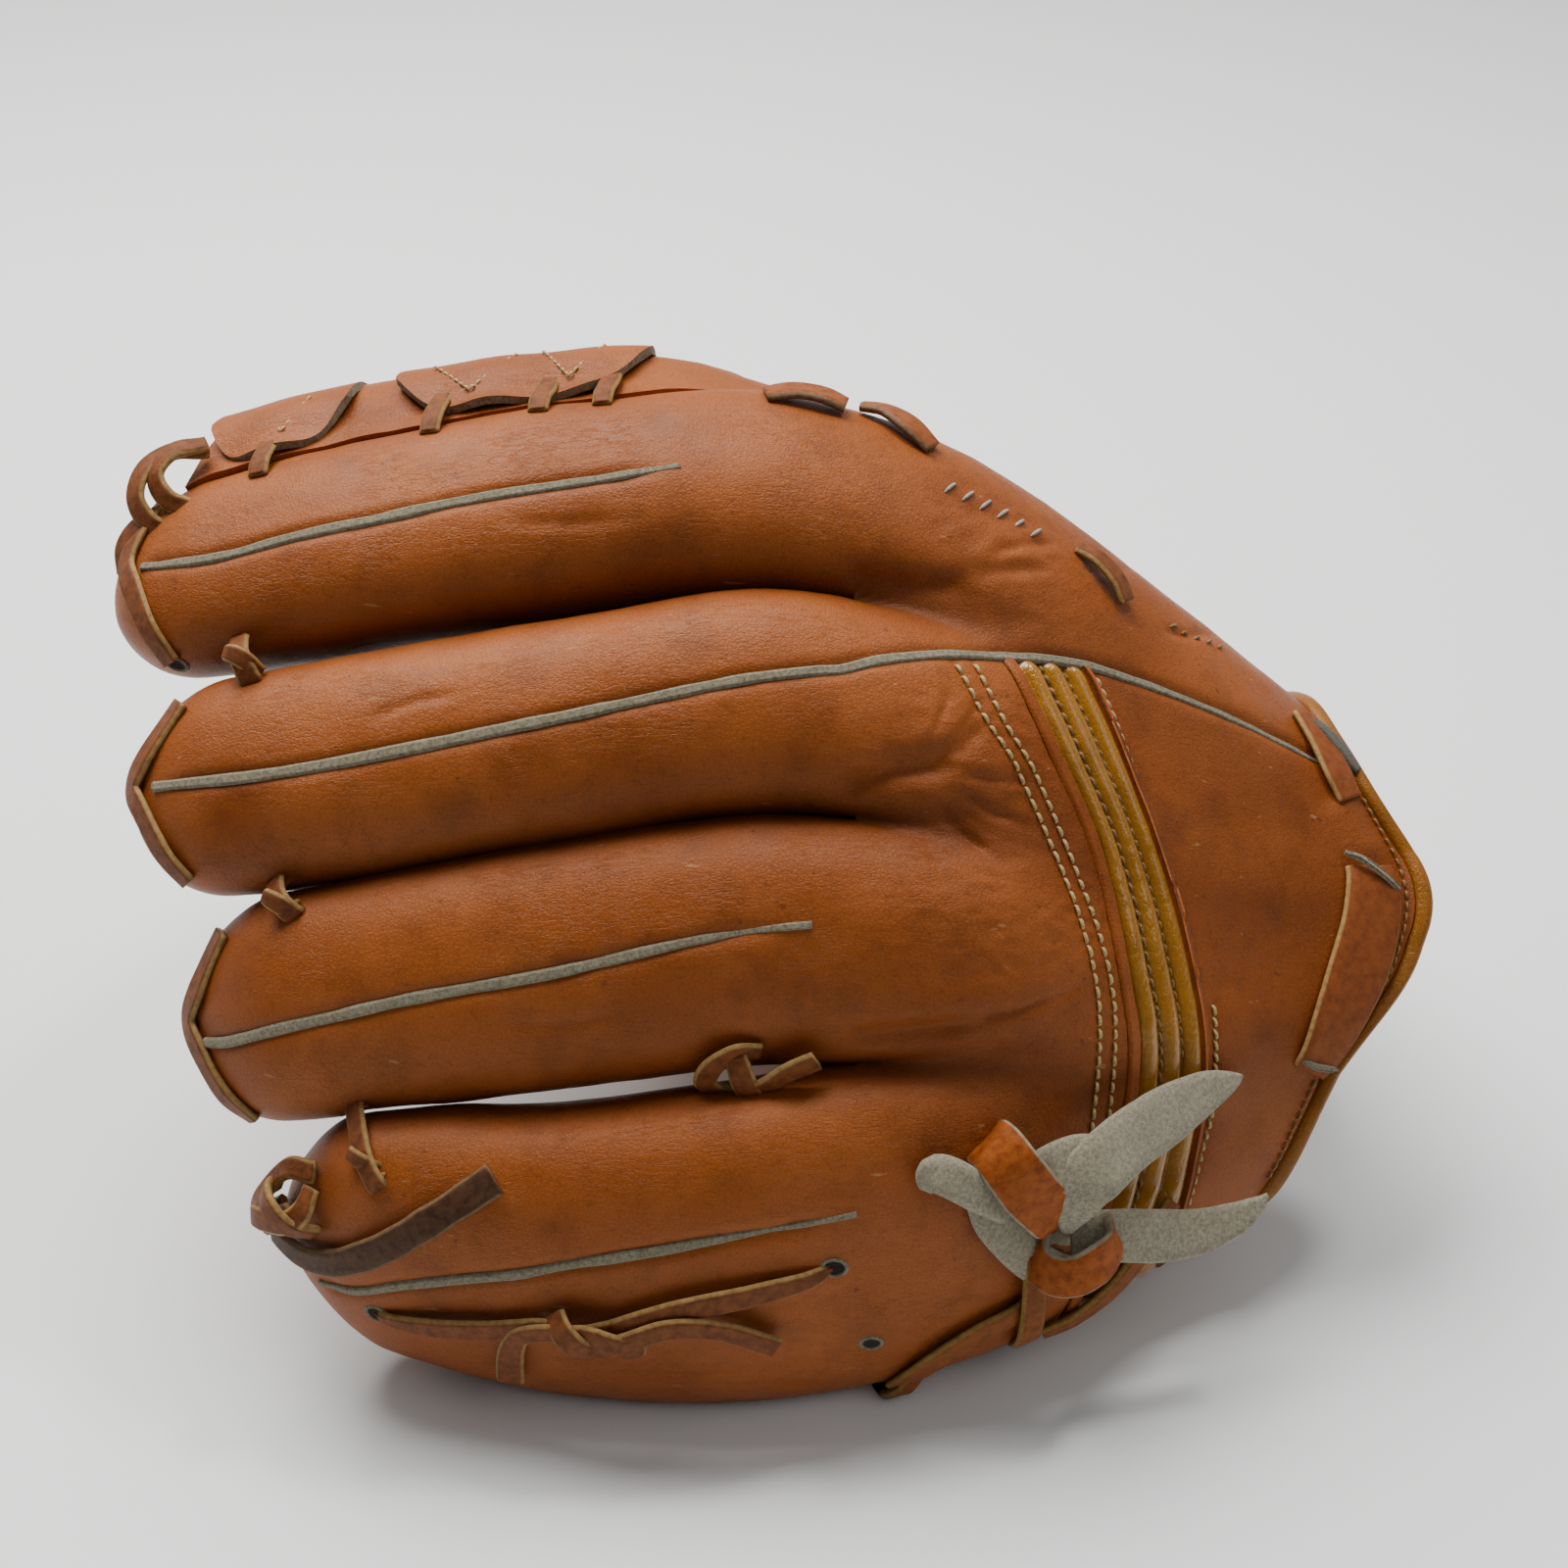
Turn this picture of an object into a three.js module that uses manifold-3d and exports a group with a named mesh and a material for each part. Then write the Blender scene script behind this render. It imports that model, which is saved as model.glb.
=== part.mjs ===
// A left-hand baseball infield glove lying palm down, fingers to the left.
//
// Millimetres, +Z up. x runs along the fingers (wrist at +x), y away from the little finger,
// z up from the floor. The glove is a row of soft sausage shapes, one for each finger and three
// for the base of the thumb, that stay apart as fingers and flow together into the hand.

import * as THREE from "three";
import Module from "manifold-3d";
import { mergeVertices } from "three/addons/utils/BufferGeometryUtils.js";

const wasm = await Module();
wasm.setup();

// Leather and clearance sizes
const STALL_WALL = 3.2;
const BACK_WALL = 3.2;
const PALM_WALL = 7;
const LEAST_WALL = 1.4;
const LEAST_HOLLOW = 2;
const LEAST_HALF_SIZE = 0.5;
const GAP = 0.3;
const TRIM_LIFT = 0.8;

// The glove's shape
const SQUARENESS = 2.3;
const KNUCKLE_X = 15;
const FINGER_BLEND = 1;
const HAND_BLEND = 18;
const BLEND_START_X = 10;
const BLEND_END_X = 70;
// Towards the wrist the palm's rays turn from the sausages' own directions to straight down.
const HEEL_START_X = 60;
const HEEL_END_X = 130;
const HEEL_DOWN = 0.8;

// The leather is pressed flat where it lies on the floor, at this height of the drawing axes.
const FLOOR_Z = 4.5;

// How far a ray goes to find the skin, its first stride, and how often that is halved
const RAY_REACH = 90;
const RAY_STRIDE = 1.5;
const RAY_HALVINGS = 24;
// The distance given for any point beyond a finger's closed tip
const BEYOND_TIP = 50;

// From the drawing axes to the middle of the footprint
const FRAME_SHIFT = new THREE.Vector3(1.35, -98.82, -FLOOR_Z);

// Centre line and section of each sausage. Columns: x, y, z of the centre, half width,
// half thickness, and lean of the outer face's normal in degrees (0 forwards, 90 up, 180 back).
const SAUSAGES = {
  pinky: [
    [-108, 15, 43, 24, 12, 6],
    [-88, 13, 41, 30, 16, 6],
    [-50, 10, 38, 36, 20, 5],
    [0, 11, 41, 40, 21, 6],
    [45, 21, 44, 38, 21, 12],
    [90, 46, 43, 30, 22, 24],
    [140, 74, 52, 22, 20, 30],
  ],
  ring: [
    [-129, 40, 78, 24, 12, 30],
    [-108, 38, 83, 25, 16, 30],
    [-50, 40, 93, 27, 20, 33],
    [0, 42, 99, 27, 21, 33],
    [45, 44, 94, 26, 21, 33],
    [90, 60, 73, 24, 22, 38],
    [140, 84, 62, 20, 22, 45],
  ],
  middle: [
    [-141, 69, 117, 22, 12, 44],
    [-118, 68, 120, 24, 16, 44],
    [-50, 71, 131, 25, 20, 47],
    [0, 74, 136, 25, 21, 50],
    [45, 74, 124, 26, 21, 52],
    [90, 82, 98, 24, 22, 52],
    [140, 95, 68, 20, 24, 60],
  ],
  index: [
    [-150, 108, 144, 21, 12, 62],
    [-125, 108, 149, 24, 16, 64],
    [-50, 112, 162, 26, 20, 68],
    [0, 114, 163, 26, 21, 72],
    [45, 112, 147, 27, 21, 76],
    [90, 109, 114, 24, 22, 78],
    [140, 108, 71, 20, 25, 80],
  ],
  crotch: [
    [12, 154, 134, 24, 16, 104],
    [22, 155, 130, 27, 18, 108],
    [45, 156, 108, 30, 20, 122],
    [90, 140, 90, 27, 22, 118],
    [140, 122, 66, 18, 22, 105],
  ],
  base: [
    [12, 178, 92, 26, 14, 138],
    [22, 177, 88, 30, 16, 140],
    [45, 172, 72, 32, 19, 145],
    [90, 150, 64, 28, 20, 136],
    [140, 128, 60, 18, 20, 120],
  ],
  thumb: [
    [-112, 190, 106, 22, 12, 168],
    [-90, 194, 96, 26, 16, 170],
    [-40, 195, 70, 30, 19, 172],
    [0, 190, 48, 32, 20, 170],
    [40, 180, 35, 34, 20, 165],
    [90, 158, 40, 33, 20, 150],
    [140, 134, 54, 20, 18, 135],
  ],
};
const ORDER = ["pinky", "ring", "middle", "index", "crotch", "base", "thumb"];
const TIP_LENGTH = { pinky: 22, ring: 23, middle: 22, index: 22, thumb: 26 };
const LAST = ORDER.length - 1;

// Edges of the stretch band, by share of the way from the little-finger edge (0) to the middle
// finger's welt (1). Columns: share, left edge x, right edge x.
const BAND_TABLE = [
  [0, 57, 84],
  [0.17, 68, 90],
  [0.37, 73, 91],
  [0.52, 70, 88],
  [0.72, 64, 81],
  [0.86, 55, 74],
  [1, 46, 65],
];
// The wrist opening's edge round the hand. Columns: perimeter place, x.
const WRIST_TABLE = [
  [-0.5, 106],
  [0, 120],
  [0.5, 135],
  [1, 141],
  [1.9, 141],
  [2.6, 131],
  [3, 126],
  [4, 119],
  [5, 113],
  [6, 110],
  [7, 113],
  [8, 121],
  [9, 127],
  [10, 129],
  [11, 128],
  [12, 124],
  [13, 113],
  [13.5, 106],
];
// Perimeter place of the middle finger's welt. Columns: x, place.
const WELT_TABLE = [
  [-150, 2],
  [0, 2],
  [42, 2.3],
  [70, 2.48],
  [100, 2.6],
  [140, 2.7],
];
const WRIST_WELT_PLACE = 2.68;
const PINKY_EDGE = -0.5;
const THUMB_EDGE = LAST + 0.5;
const THUMB_BACK_START = 4.6;
const PERIMETER = 2 * LAST + 2;

const COLOURS = {
  leather: 0xa8562a,
  palmLeather: 0x9c5028,
  suede: 0x8d8468,
  lace: 0xa86a3c,
  band: 0xb07a2c,
  binding: 0xa05a20,
  darkLace: 0x6b4a33,
};

function material(colour, roughness) {
  return new THREE.MeshStandardMaterial({ color: colour, roughness, metalness: 0 });
}

// Reads one column of a table at x, on a smooth curve through its rows.
function readColumn(rows, column, x) {
  const count = rows.length;
  const clamped = Math.min(Math.max(x, rows[0][0]), rows[count - 1][0]);
  let i = 0;
  while (i < count - 2 && clamped > rows[i + 1][0]) i += 1;
  const slopeOf = (k) => (rows[k + 1][column] - rows[k][column]) / (rows[k + 1][0] - rows[k][0]);
  const slopeAt = (k) => {
    if (k === 0) return slopeOf(0);
    if (k === count - 1) return slopeOf(count - 2);
    const before = rows[k][0] - rows[k - 1][0];
    const after = rows[k + 1][0] - rows[k][0];
    return (slopeOf(k - 1) * after + slopeOf(k) * before) / (before + after);
  };
  const span = rows[i + 1][0] - rows[i][0];
  const t = (clamped - rows[i][0]) / span;
  const t2 = t * t;
  const t3 = t2 * t;
  return (
    (2 * t3 - 3 * t2 + 1) * rows[i][column] +
    (t3 - 2 * t2 + t) * span * slopeAt(i) +
    (3 * t2 - 2 * t3) * rows[i + 1][column] +
    (t3 - t2) * span * slopeAt(i + 1)
  );
}

// Section of one sausage at x: centre, half sizes, and the directions out of its face and
// across it. `inset` shrinks it, and moves its closed tip back, by that much.
function section(name, x, inset = 0) {
  const rows = SAUSAGES[name];
  const columns = [1, 2, 3, 4, 5];
  const [y, z, halfWidth, halfThickness, lean] = columns.map((column) => readColumn(rows, column, x));
  const tipLength = TIP_LENGTH[name];
  let roundness = 1;
  if (tipLength) {
    const along = Math.min(Math.max((x - rows[0][0] - inset) / tipLength, 0), 1);
    roundness = Math.sqrt(1 - (1 - along) ** 2);
  }
  const angle = THREE.MathUtils.degToRad(lean);
  return {
    y,
    z,
    halfWidth: Math.max((halfWidth - inset) * roundness, LEAST_HALF_SIZE),
    halfThickness: Math.max((halfThickness - inset) * roundness, LEAST_HALF_SIZE),
    out: [-Math.cos(angle), Math.sin(angle)],
    across: [Math.sin(angle), Math.cos(angle)],
  };
}

const sectionCache = new Map();
function cachedSection(name, x) {
  const key = `${name} ${x.toFixed(4)}`;
  if (!sectionCache.has(key)) sectionCache.set(key, section(name, x));
  return sectionCache.get(key);
}

// Distance from a sausage's skin, below zero inside it.
function sausageDistance(name, x, y, z) {
  if (x < SAUSAGES[name][0][0]) return BEYOND_TIP;
  const s = cachedSection(name, x);
  const dy = y - s.y;
  const dz = z - s.z;
  const across = Math.abs(dy * s.across[0] + dz * s.across[1]) / s.halfWidth;
  const out = Math.abs(dy * s.out[0] + dz * s.out[1]) / s.halfThickness;
  const ratio = (across ** SQUARENESS + out ** SQUARENESS) ** (1 / SQUARENESS);
  const radius = Math.hypot(dy, dz);
  return ratio < 1e-3 ? -s.halfThickness : radius - radius / ratio;
}

function blendedLeast(a, b, reach) {
  return Math.min(a, b) - Math.max(reach - Math.abs(a - b), 0) ** 2 / (4 * reach);
}

// Distance from the skin of the whole hand, with its sausages flowing together towards the wrist.
function handDistance(x, y, z) {
  const joined = THREE.MathUtils.smoothstep(x, BLEND_START_X, BLEND_END_X);
  const fingerReach = FINGER_BLEND + (HAND_BLEND - FINGER_BLEND) * joined;
  let least = sausageDistance(ORDER[0], x, y, z);
  for (let i = 1; i <= LAST; i += 1) {
    const reach = i < ORDER.indexOf("crotch") ? fingerReach : HAND_BLEND;
    least = blendedLeast(least, sausageDistance(ORDER[i], x, y, z), reach);
  }
  return least;
}

// Length along a ray from inside a shape to where its distance reaches `level`.
function reachLevel(distance, x, origin, direction, level) {
  const at = (length) => distance(x, origin[0] + direction[0] * length, origin[1] + direction[1] * length);
  let near = 0;
  let far = RAY_STRIDE;
  while (at(far) < level && far < RAY_REACH) {
    near = far;
    far += RAY_STRIDE;
  }
  for (let i = 0; i < RAY_HALVINGS; i += 1) {
    const middle = (near + far) / 2;
    if (at(middle) < level) near = middle;
    else far = middle;
  }
  return near;
}

function unit(pair) {
  const length = Math.hypot(pair[0], pair[1]);
  return [pair[0] / length, pair[1] / length];
}

// A ray out of the hand at a place on its perimeter: 0 to 6 on the back over the seven
// sausages, 6 to 7 round the thumb's edge, 7 to 13 back along the palm, 13 to 14 round the
// little finger's edge.
function perimeterRay(x, place) {
  const wrapped = ((place % PERIMETER) + PERIMETER) % PERIMETER;
  const onBack = wrapped <= LAST;
  const onPalm = wrapped >= LAST + 1 && wrapped <= 2 * LAST + 1;
  const down = HEEL_DOWN * THREE.MathUtils.smoothstep(x, HEEL_START_X, HEEL_END_X);
  const palmward = (out) => unit([-out[0] * (1 - down), -out[1] * (1 - down) - down]);
  if (onBack || onPalm) {
    const spine = onBack ? wrapped : 2 * LAST + 1 - wrapped;
    const low = Math.min(Math.floor(spine), LAST - 1);
    const share = spine - low;
    const [a, b] = [cachedSection(ORDER[low], x), cachedSection(ORDER[low + 1], x)];
    const origin = [a.y + (b.y - a.y) * share, a.z + (b.z - a.z) * share];
    const mixed = unit([a.out[0] + (b.out[0] - a.out[0]) * share, a.out[1] + (b.out[1] - a.out[1]) * share]);
    return { origin, direction: onBack ? mixed : palmward(mixed) };
  }
  const aroundThumb = wrapped < LAST + 1;
  const end = cachedSection(aroundThumb ? ORDER[LAST] : ORDER[0], x);
  const palmDirection = palmward(end.out);
  const bend = Math.acos(Math.min(-palmDirection[0] * end.out[0] - palmDirection[1] * end.out[1], 1));
  const sweep = Math.PI - bend;
  const turn = aroundThumb ? (wrapped - LAST) * sweep : bend + (wrapped - 2 * LAST - 1) * sweep;
  const sign = aroundThumb ? 1 : -1;
  const direction = [0, 1].map((k) => sign * (end.out[k] * Math.cos(turn) + end.across[k] * Math.sin(turn)));
  return { origin: [end.y, end.z], direction };
}

// A point, lifted to the floor if it would be below it.
function aboveFloor(x, y, z) {
  return new THREE.Vector3(x, y, Math.max(z, FLOOR_Z));
}

// A point on the hand's skin at x and a perimeter place, or `lift` above it.
function handPoint(x, place, lift = 0) {
  const { origin, direction } = perimeterRay(x, place);
  const skin = Math.max(reachLevel(handDistance, x, origin, direction, 0), LEAST_HOLLOW / 2 + BACK_WALL);
  const length = skin + lift;
  return aboveFloor(x, origin[0] + direction[0] * length, origin[1] + direction[1] * length);
}

// A point on the inner face of a wall of that thickness, at x and a perimeter place.
function liningPoint(x, place, wall) {
  const { origin, direction } = perimeterRay(x, place);
  const length = Math.max(reachLevel(handDistance, x, origin, direction, -wall), LEAST_HOLLOW / 2);
  const z = Math.max(origin[1] + direction[1] * length, FLOOR_Z + LEAST_WALL);
  return new THREE.Vector3(x, origin[0] + direction[0] * length, z);
}

// Distance that keeps a finger clear of its neighbours: it ends half way to each.
function stallDistance(name, x, y, z) {
  const own = sausageDistance(name, x, y, z);
  const place = ORDER.indexOf(name);
  const neighbours = [ORDER[place - 1], ORDER[place + 1]].filter((other) => TIP_LENGTH[other]);
  const limits = neighbours.map((other) => (own - sausageDistance(other, x, y, z) + GAP) / 2);
  return Math.max(own, ...limits);
}

// A point on a finger at x and an angle round it (0 on the back, 90 towards the thumb).
function stallPoint(name, x, angle) {
  const s = cachedSection(name, x);
  const turn = THREE.MathUtils.degToRad(angle);
  const direction = [0, 1].map((k) => s.out[k] * Math.cos(turn) + s.across[k] * Math.sin(turn));
  const distance = (px, py, pz) => stallDistance(name, px, py, pz);
  const length = reachLevel(distance, x, [s.y, s.z], direction, 0);
  return aboveFloor(x, s.y + direction[0] * length, s.z + direction[1] * length);
}

// One closed mesh from vertices and triangles, turned so that its faces point out.
function closedMesh(name, vertices, triangles, look) {
  let volume = 0;
  for (const [a, b, c] of triangles) {
    volume += vertices[a].dot(vertices[b].clone().cross(vertices[c]));
  }
  const facing = volume < 0 ? triangles.map(([a, b, c]) => [a, c, b]) : triangles;
  const geometry = new THREE.BufferGeometry();
  const numbers = vertices.flatMap((v) => v.toArray());
  geometry.setAttribute("position", new THREE.Float32BufferAttribute(numbers, 3));
  geometry.setIndex(facing.flat());
  geometry.computeVertexNormals();
  const mesh = new THREE.Mesh(geometry, look);
  mesh.name = name;
  return mesh;
}

function addQuad(triangles, a, b, c, d) {
  triangles.push([a, b, c], [a, c, d]);
}

// A curved panel with thickness: `pointAt(i, j, side)` gives its outer (0) and inner (1) face.
function panelMesh(name, columns, rows, pointAt, look) {
  const vertices = [];
  const triangles = [];
  const index = (i, j, side) => (side * (columns + 1) + i) * (rows + 1) + j;
  for (let side = 0; side < 2; side += 1) {
    for (let i = 0; i <= columns; i += 1) {
      for (let j = 0; j <= rows; j += 1) vertices.push(pointAt(i, j, side));
    }
  }
  for (let i = 0; i < columns; i += 1) {
    for (let j = 0; j < rows; j += 1) {
      addQuad(triangles, index(i, j, 0), index(i + 1, j, 0), index(i + 1, j + 1, 0), index(i, j + 1, 0));
      addQuad(triangles, index(i, j, 1), index(i, j + 1, 1), index(i + 1, j + 1, 1), index(i + 1, j, 1));
    }
  }
  for (let i = 0; i < columns; i += 1) {
    addQuad(triangles, index(i, 0, 0), index(i, 0, 1), index(i + 1, 0, 1), index(i + 1, 0, 0));
    addQuad(triangles, index(i, rows, 0), index(i + 1, rows, 0), index(i + 1, rows, 1), index(i, rows, 1));
  }
  const end = columns;
  for (let j = 0; j < rows; j += 1) {
    addQuad(triangles, index(0, j, 0), index(0, j + 1, 0), index(0, j + 1, 1), index(0, j, 1));
    addQuad(triangles, index(end, j, 0), index(end, j, 1), index(end, j + 1, 1), index(end, j + 1, 0));
  }
  return closedMesh(name, vertices, triangles, look);
}

// Angles round a finger, closer together at its two narrow edges
const STALL_ANGLES = [0, 26, 52, 76, 90, 104, 128, 154, 180, 206, 232, 256, 270, 284, 308, 334];
const STALL_TIP_ANGLES = [20, 42, 66, 90];
const STALL_SHAFT_STEPS = 6;

// A hollow finger, closed at its tip and open at the knuckles.
function stallMesh(name, look) {
  const tip = SAUSAGES[name][0][0];
  const tipLength = TIP_LENGTH[name];
  const end = KNUCKLE_X - GAP;
  const sides = STALL_ANGLES.length;
  const stations = (inset) => {
    const start = tip + inset;
    const turns = STALL_TIP_ANGLES.map((angle) => THREE.MathUtils.degToRad(angle));
    const rounded = turns.map((turn) => start + tipLength * (1 - Math.cos(turn)));
    const shaft = start + tipLength;
    const steps = Array.from({ length: STALL_SHAFT_STEPS }, (_, k) => (k + 1) / STALL_SHAFT_STEPS);
    return [...rounded, ...steps.map((share) => shaft + (end - shaft) * share)];
  };
  const outerRing = (x) => STALL_ANGLES.map((angle) => stallPoint(name, x, angle));
  const innerRing = (x) => {
    const s = section(name, x, STALL_WALL);
    return STALL_ANGLES.map((angle) => {
      const turn = THREE.MathUtils.degToRad(angle);
      const [c, d] = [Math.cos(turn), Math.sin(turn)];
      const [wide, thick] = [Math.abs(d / s.halfWidth), Math.abs(c / s.halfThickness)];
      const oval = (wide ** SQUARENESS + thick ** SQUARENESS) ** (-1 / SQUARENESS);
      const direction = [0, 1].map((m) => s.out[m] * c + s.across[m] * d);
      const distance = (px, py, pz) => stallDistance(name, px, py, pz);
      const skin = reachLevel(distance, x, [s.y, s.z], direction, 0);
      const length = Math.min(oval, skin - LEAST_WALL);
      const z = Math.max(s.z + direction[1] * length, FLOOR_Z + LEAST_WALL);
      return new THREE.Vector3(x, s.y + direction[0] * length, z);
    });
  };
  const centre = (x) => {
    const s = cachedSection(name, x);
    return new THREE.Vector3(x, s.y, s.z);
  };
  const outer = stations(0).map(outerRing);
  const inner = stations(STALL_WALL).map(innerRing);
  const vertices = [...outer.flat(), ...inner.flat(), centre(tip), centre(tip + STALL_WALL)];
  const triangles = [];
  const ringCount = outer.length;
  const outerAt = (i, k) => i * sides + (k % sides);
  const innerAt = (i, k) => (ringCount + i) * sides + (k % sides);
  const [outerTip, innerTip] = [vertices.length - 2, vertices.length - 1];
  for (let k = 0; k < sides; k += 1) {
    triangles.push([outerTip, outerAt(0, k), outerAt(0, k + 1)]);
    triangles.push([innerTip, innerAt(0, k + 1), innerAt(0, k)]);
    for (let i = 0; i < ringCount - 1; i += 1) {
      addQuad(triangles, outerAt(i, k), outerAt(i + 1, k), outerAt(i + 1, k + 1), outerAt(i, k + 1));
      addQuad(triangles, innerAt(i, k), innerAt(i, k + 1), innerAt(i + 1, k + 1), innerAt(i + 1, k));
    }
    const rim = ringCount - 1;
    addQuad(triangles, outerAt(rim, k), innerAt(rim, k), innerAt(rim, k + 1), outerAt(rim, k + 1));
  }
  return closedMesh(name + "_stall", vertices, triangles, look);
}

function weltPlace(x) {
  return readColumn(WELT_TABLE, 1, x);
}

function wristX(place) {
  return readColumn(WRIST_TABLE, 1, place);
}

// A panel of the hand between two x edges and two perimeter places, each a function of the
// share across it or of x.
function handPanel(name, [columns, rows], edges, wall, look) {
  const pointAt = (i, j, side) => {
    const share = j / rows;
    const start = edges.startX(share);
    const x = start + ((edges.endX(share) - start) * i) / columns;
    const [low, high] = [edges.lowPlace(x), edges.highPlace(x)];
    const place = low + (high - low) * share;
    return side === 0 ? handPoint(x, place) : liningPoint(x, place, wall);
  };
  return panelMesh(name, columns, rows, pointAt, look);
}

// One step of perimeter place is about this long on the skin.
const PLACE_LENGTH = 34;
const PLACE_GAP = GAP / PLACE_LENGTH;
// Columns along x and rows round the hand of each panel's mesh
const PANEL_GRID = {
  hand_back: [5, 14],
  stretch_band: [3, 14],
  wrist_panel: [4, 14],
  upper_back: [9, 12],
  thumb_back: [9, 12],
  palm: [10, 26],
};

function handPanels() {
  const leather = () => material(COLOURS.leather, 0.5);
  const lower = {
    lowPlace: () => PINKY_EDGE + PLACE_GAP,
    highPlace: (x) => weltPlace(x) - PLACE_GAP,
  };
  const bandX = (column, shift) => (share) => readColumn(BAND_TABLE, column, share) + shift;
  const half = GAP / 2;
  const knuckle = () => KNUCKLE_X;
  const back = { ...lower, startX: knuckle, endX: bandX(1, -half) };
  const band = { ...lower, startX: bandX(1, half), endX: bandX(2, -half) };
  const wrist = {
    ...lower,
    startX: bandX(2, half),
    endX: (share) => wristX(PINKY_EDGE + (WRIST_WELT_PLACE - PINKY_EDGE) * share),
  };
  const upper = {
    lowPlace: (x) => weltPlace(x) + PLACE_GAP,
    highPlace: () => THUMB_BACK_START - PLACE_GAP,
    startX: knuckle,
    endX: (share) => wristX(WRIST_WELT_PLACE + (THUMB_BACK_START - WRIST_WELT_PLACE) * share),
  };
  const thumb = {
    lowPlace: () => THUMB_BACK_START + PLACE_GAP,
    highPlace: () => THUMB_EDGE - PLACE_GAP,
    startX: knuckle,
    endX: (share) => wristX(THUMB_BACK_START + (THUMB_EDGE - THUMB_BACK_START) * share),
  };
  const palmEnd = PERIMETER + PINKY_EDGE;
  const palm = {
    lowPlace: () => THUMB_EDGE + PLACE_GAP,
    highPlace: () => palmEnd - PLACE_GAP,
    startX: knuckle,
    endX: (share) => wristX(THUMB_EDGE + (palmEnd - THUMB_EDGE) * share),
  };
  const panel = (name, edges, wall, look) => handPanel(name, PANEL_GRID[name], edges, wall, look);
  return [
    panel("hand_back", back, BACK_WALL, leather()),
    panel("stretch_band", band, BACK_WALL, material(COLOURS.band, 0.35)),
    panel("wrist_panel", wrist, BACK_WALL, leather()),
    panel("upper_back", upper, BACK_WALL, leather()),
    panel("thumb_back", thumb, BACK_WALL, leather()),
    panel("palm", palm, PALM_WALL, material(COLOURS.palmLeather, 0.55)),
  ];
}

const CROTCH_WALL_PLACES = [3.7, 5.16];

// The leather that closes the hand between the index finger and the thumb.
function crotchWall(look) {
  const [low, high] = CROTCH_WALL_PLACES;
  const [columns, rows] = [8, 2];
  const pointAt = (i, j, side) => {
    const place = low + ((high - low) * i) / columns;
    const x = KNUCKLE_X - GAP - (side === 0 ? BACK_WALL : 0);
    const back = handPoint(KNUCKLE_X, place);
    const palm = handPoint(KNUCKLE_X, 2 * LAST + 1 - place);
    return back.lerp(palm, j / rows).setX(x);
  };
  return panelMesh("crotch_wall", columns, rows, pointAt, look);
}

// A flat strap through stations, each with its point, the direction out of its face, and its
// width. Its underside runs through the points.
function strapMesh(name, stations, thickness, look) {
  const last = stations.length - 1;
  const corners = stations.map((station, i) => {
    const ahead = stations[Math.min(i + 1, last)].point;
    const behind = stations[Math.max(i - 1, 0)].point;
    const along = ahead.clone().sub(behind).normalize();
    const side = along.clone().cross(station.normal).normalize();
    const up = side.clone().cross(along).normalize();
    const at = (across, height) => {
      const edge = station.point.clone().addScaledVector(side, (across * station.width) / 2);
      return edge.addScaledVector(up, height);
    };
    return [at(-1, 0), at(1, 0), at(1, thickness), at(-1, thickness)];
  });
  const vertices = corners.flat();
  const triangles = [];
  for (let i = 0; i < last; i += 1) {
    for (let k = 0; k < 4; k += 1) {
      const next = (k + 1) % 4;
      addQuad(triangles, i * 4 + k, i * 4 + next, (i + 1) * 4 + next, (i + 1) * 4 + k);
    }
  }
  addQuad(triangles, 0, 3, 2, 1);
  addQuad(triangles, last * 4, last * 4 + 1, last * 4 + 2, last * 4 + 3);
  return closedMesh(name, vertices, triangles, look);
}

// A station on a finger: x, angle round it, lift and width.
function stallStation(name, x, angle, lift, width) {
  const s = cachedSection(name, x);
  const turn = THREE.MathUtils.degToRad(angle);
  const ray = [0, 1].map((k) => s.out[k] * Math.cos(turn) + s.across[k] * Math.sin(turn));
  const skin = stallPoint(name, x, angle);
  const fromTip = (x - SAUSAGES[name][0][0]) / TIP_LENGTH[name];
  const backward = fromTip < 1 ? 1 - fromTip : 0;
  const sideways = Math.sqrt(1 - backward ** 2);
  const normal = new THREE.Vector3(-backward, ray[0] * sideways, ray[1] * sideways);
  return { point: skin.addScaledVector(normal, lift), normal, width };
}

// The direction straight out of the hand's skin at a point on it.
function handNormal(point) {
  const step = 0.5;
  const slope = [0, 1, 2].map((axis) => {
    const [ahead, behind] = [point.toArray(), point.toArray()];
    ahead[axis] += step;
    behind[axis] -= step;
    return handDistance(...ahead) - handDistance(...behind);
  });
  return new THREE.Vector3(...slope).normalize();
}

// A station on the hand: x, perimeter place, lift and width.
function handStation(x, place, lift, width) {
  const skin = handPoint(x, place);
  const normal = handNormal(skin);
  return { point: skin.addScaledVector(normal, lift), normal, width };
}

// Welts, from the tip to their end. Columns: x, angle round the finger, width.
const WELTS = {
  index: [
    [-134, -14, 3.5],
    [-105, -20, 4],
    [-50, -20, 4],
    [-35, -20, 3],
    [-20, -19, 0.8],
  ],
  middle: [
    [-128, -3, 3.5],
    [-95, -4, 4],
    [-50, -4, 4],
    [0, 4, 4],
  ],
  ring: [
    [-117, -18, 3.5],
    [-90, -3, 4],
    [-50, 0, 4],
    [-20, 8, 3],
    [8, 14, 0.8],
  ],
  pinky: [
    [-97, -24, 3.5],
    [-82, -2, 4],
    [-50, 30, 4],
    [-20, 41, 3.4],
    [10, 44, 0.8],
  ],
};
const WELT_WIDTH = 4;
const WELT_THICKNESS = 1.6;
const WELT_LIFT = 0.95;
const WELT_TIP_STEPS = [0, 3, 7, 12, 18, 26];
const WELT_STEP = 12;
const HAND_WELT_X = [22, 40, 58, 75, 92, 108, 122];

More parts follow.
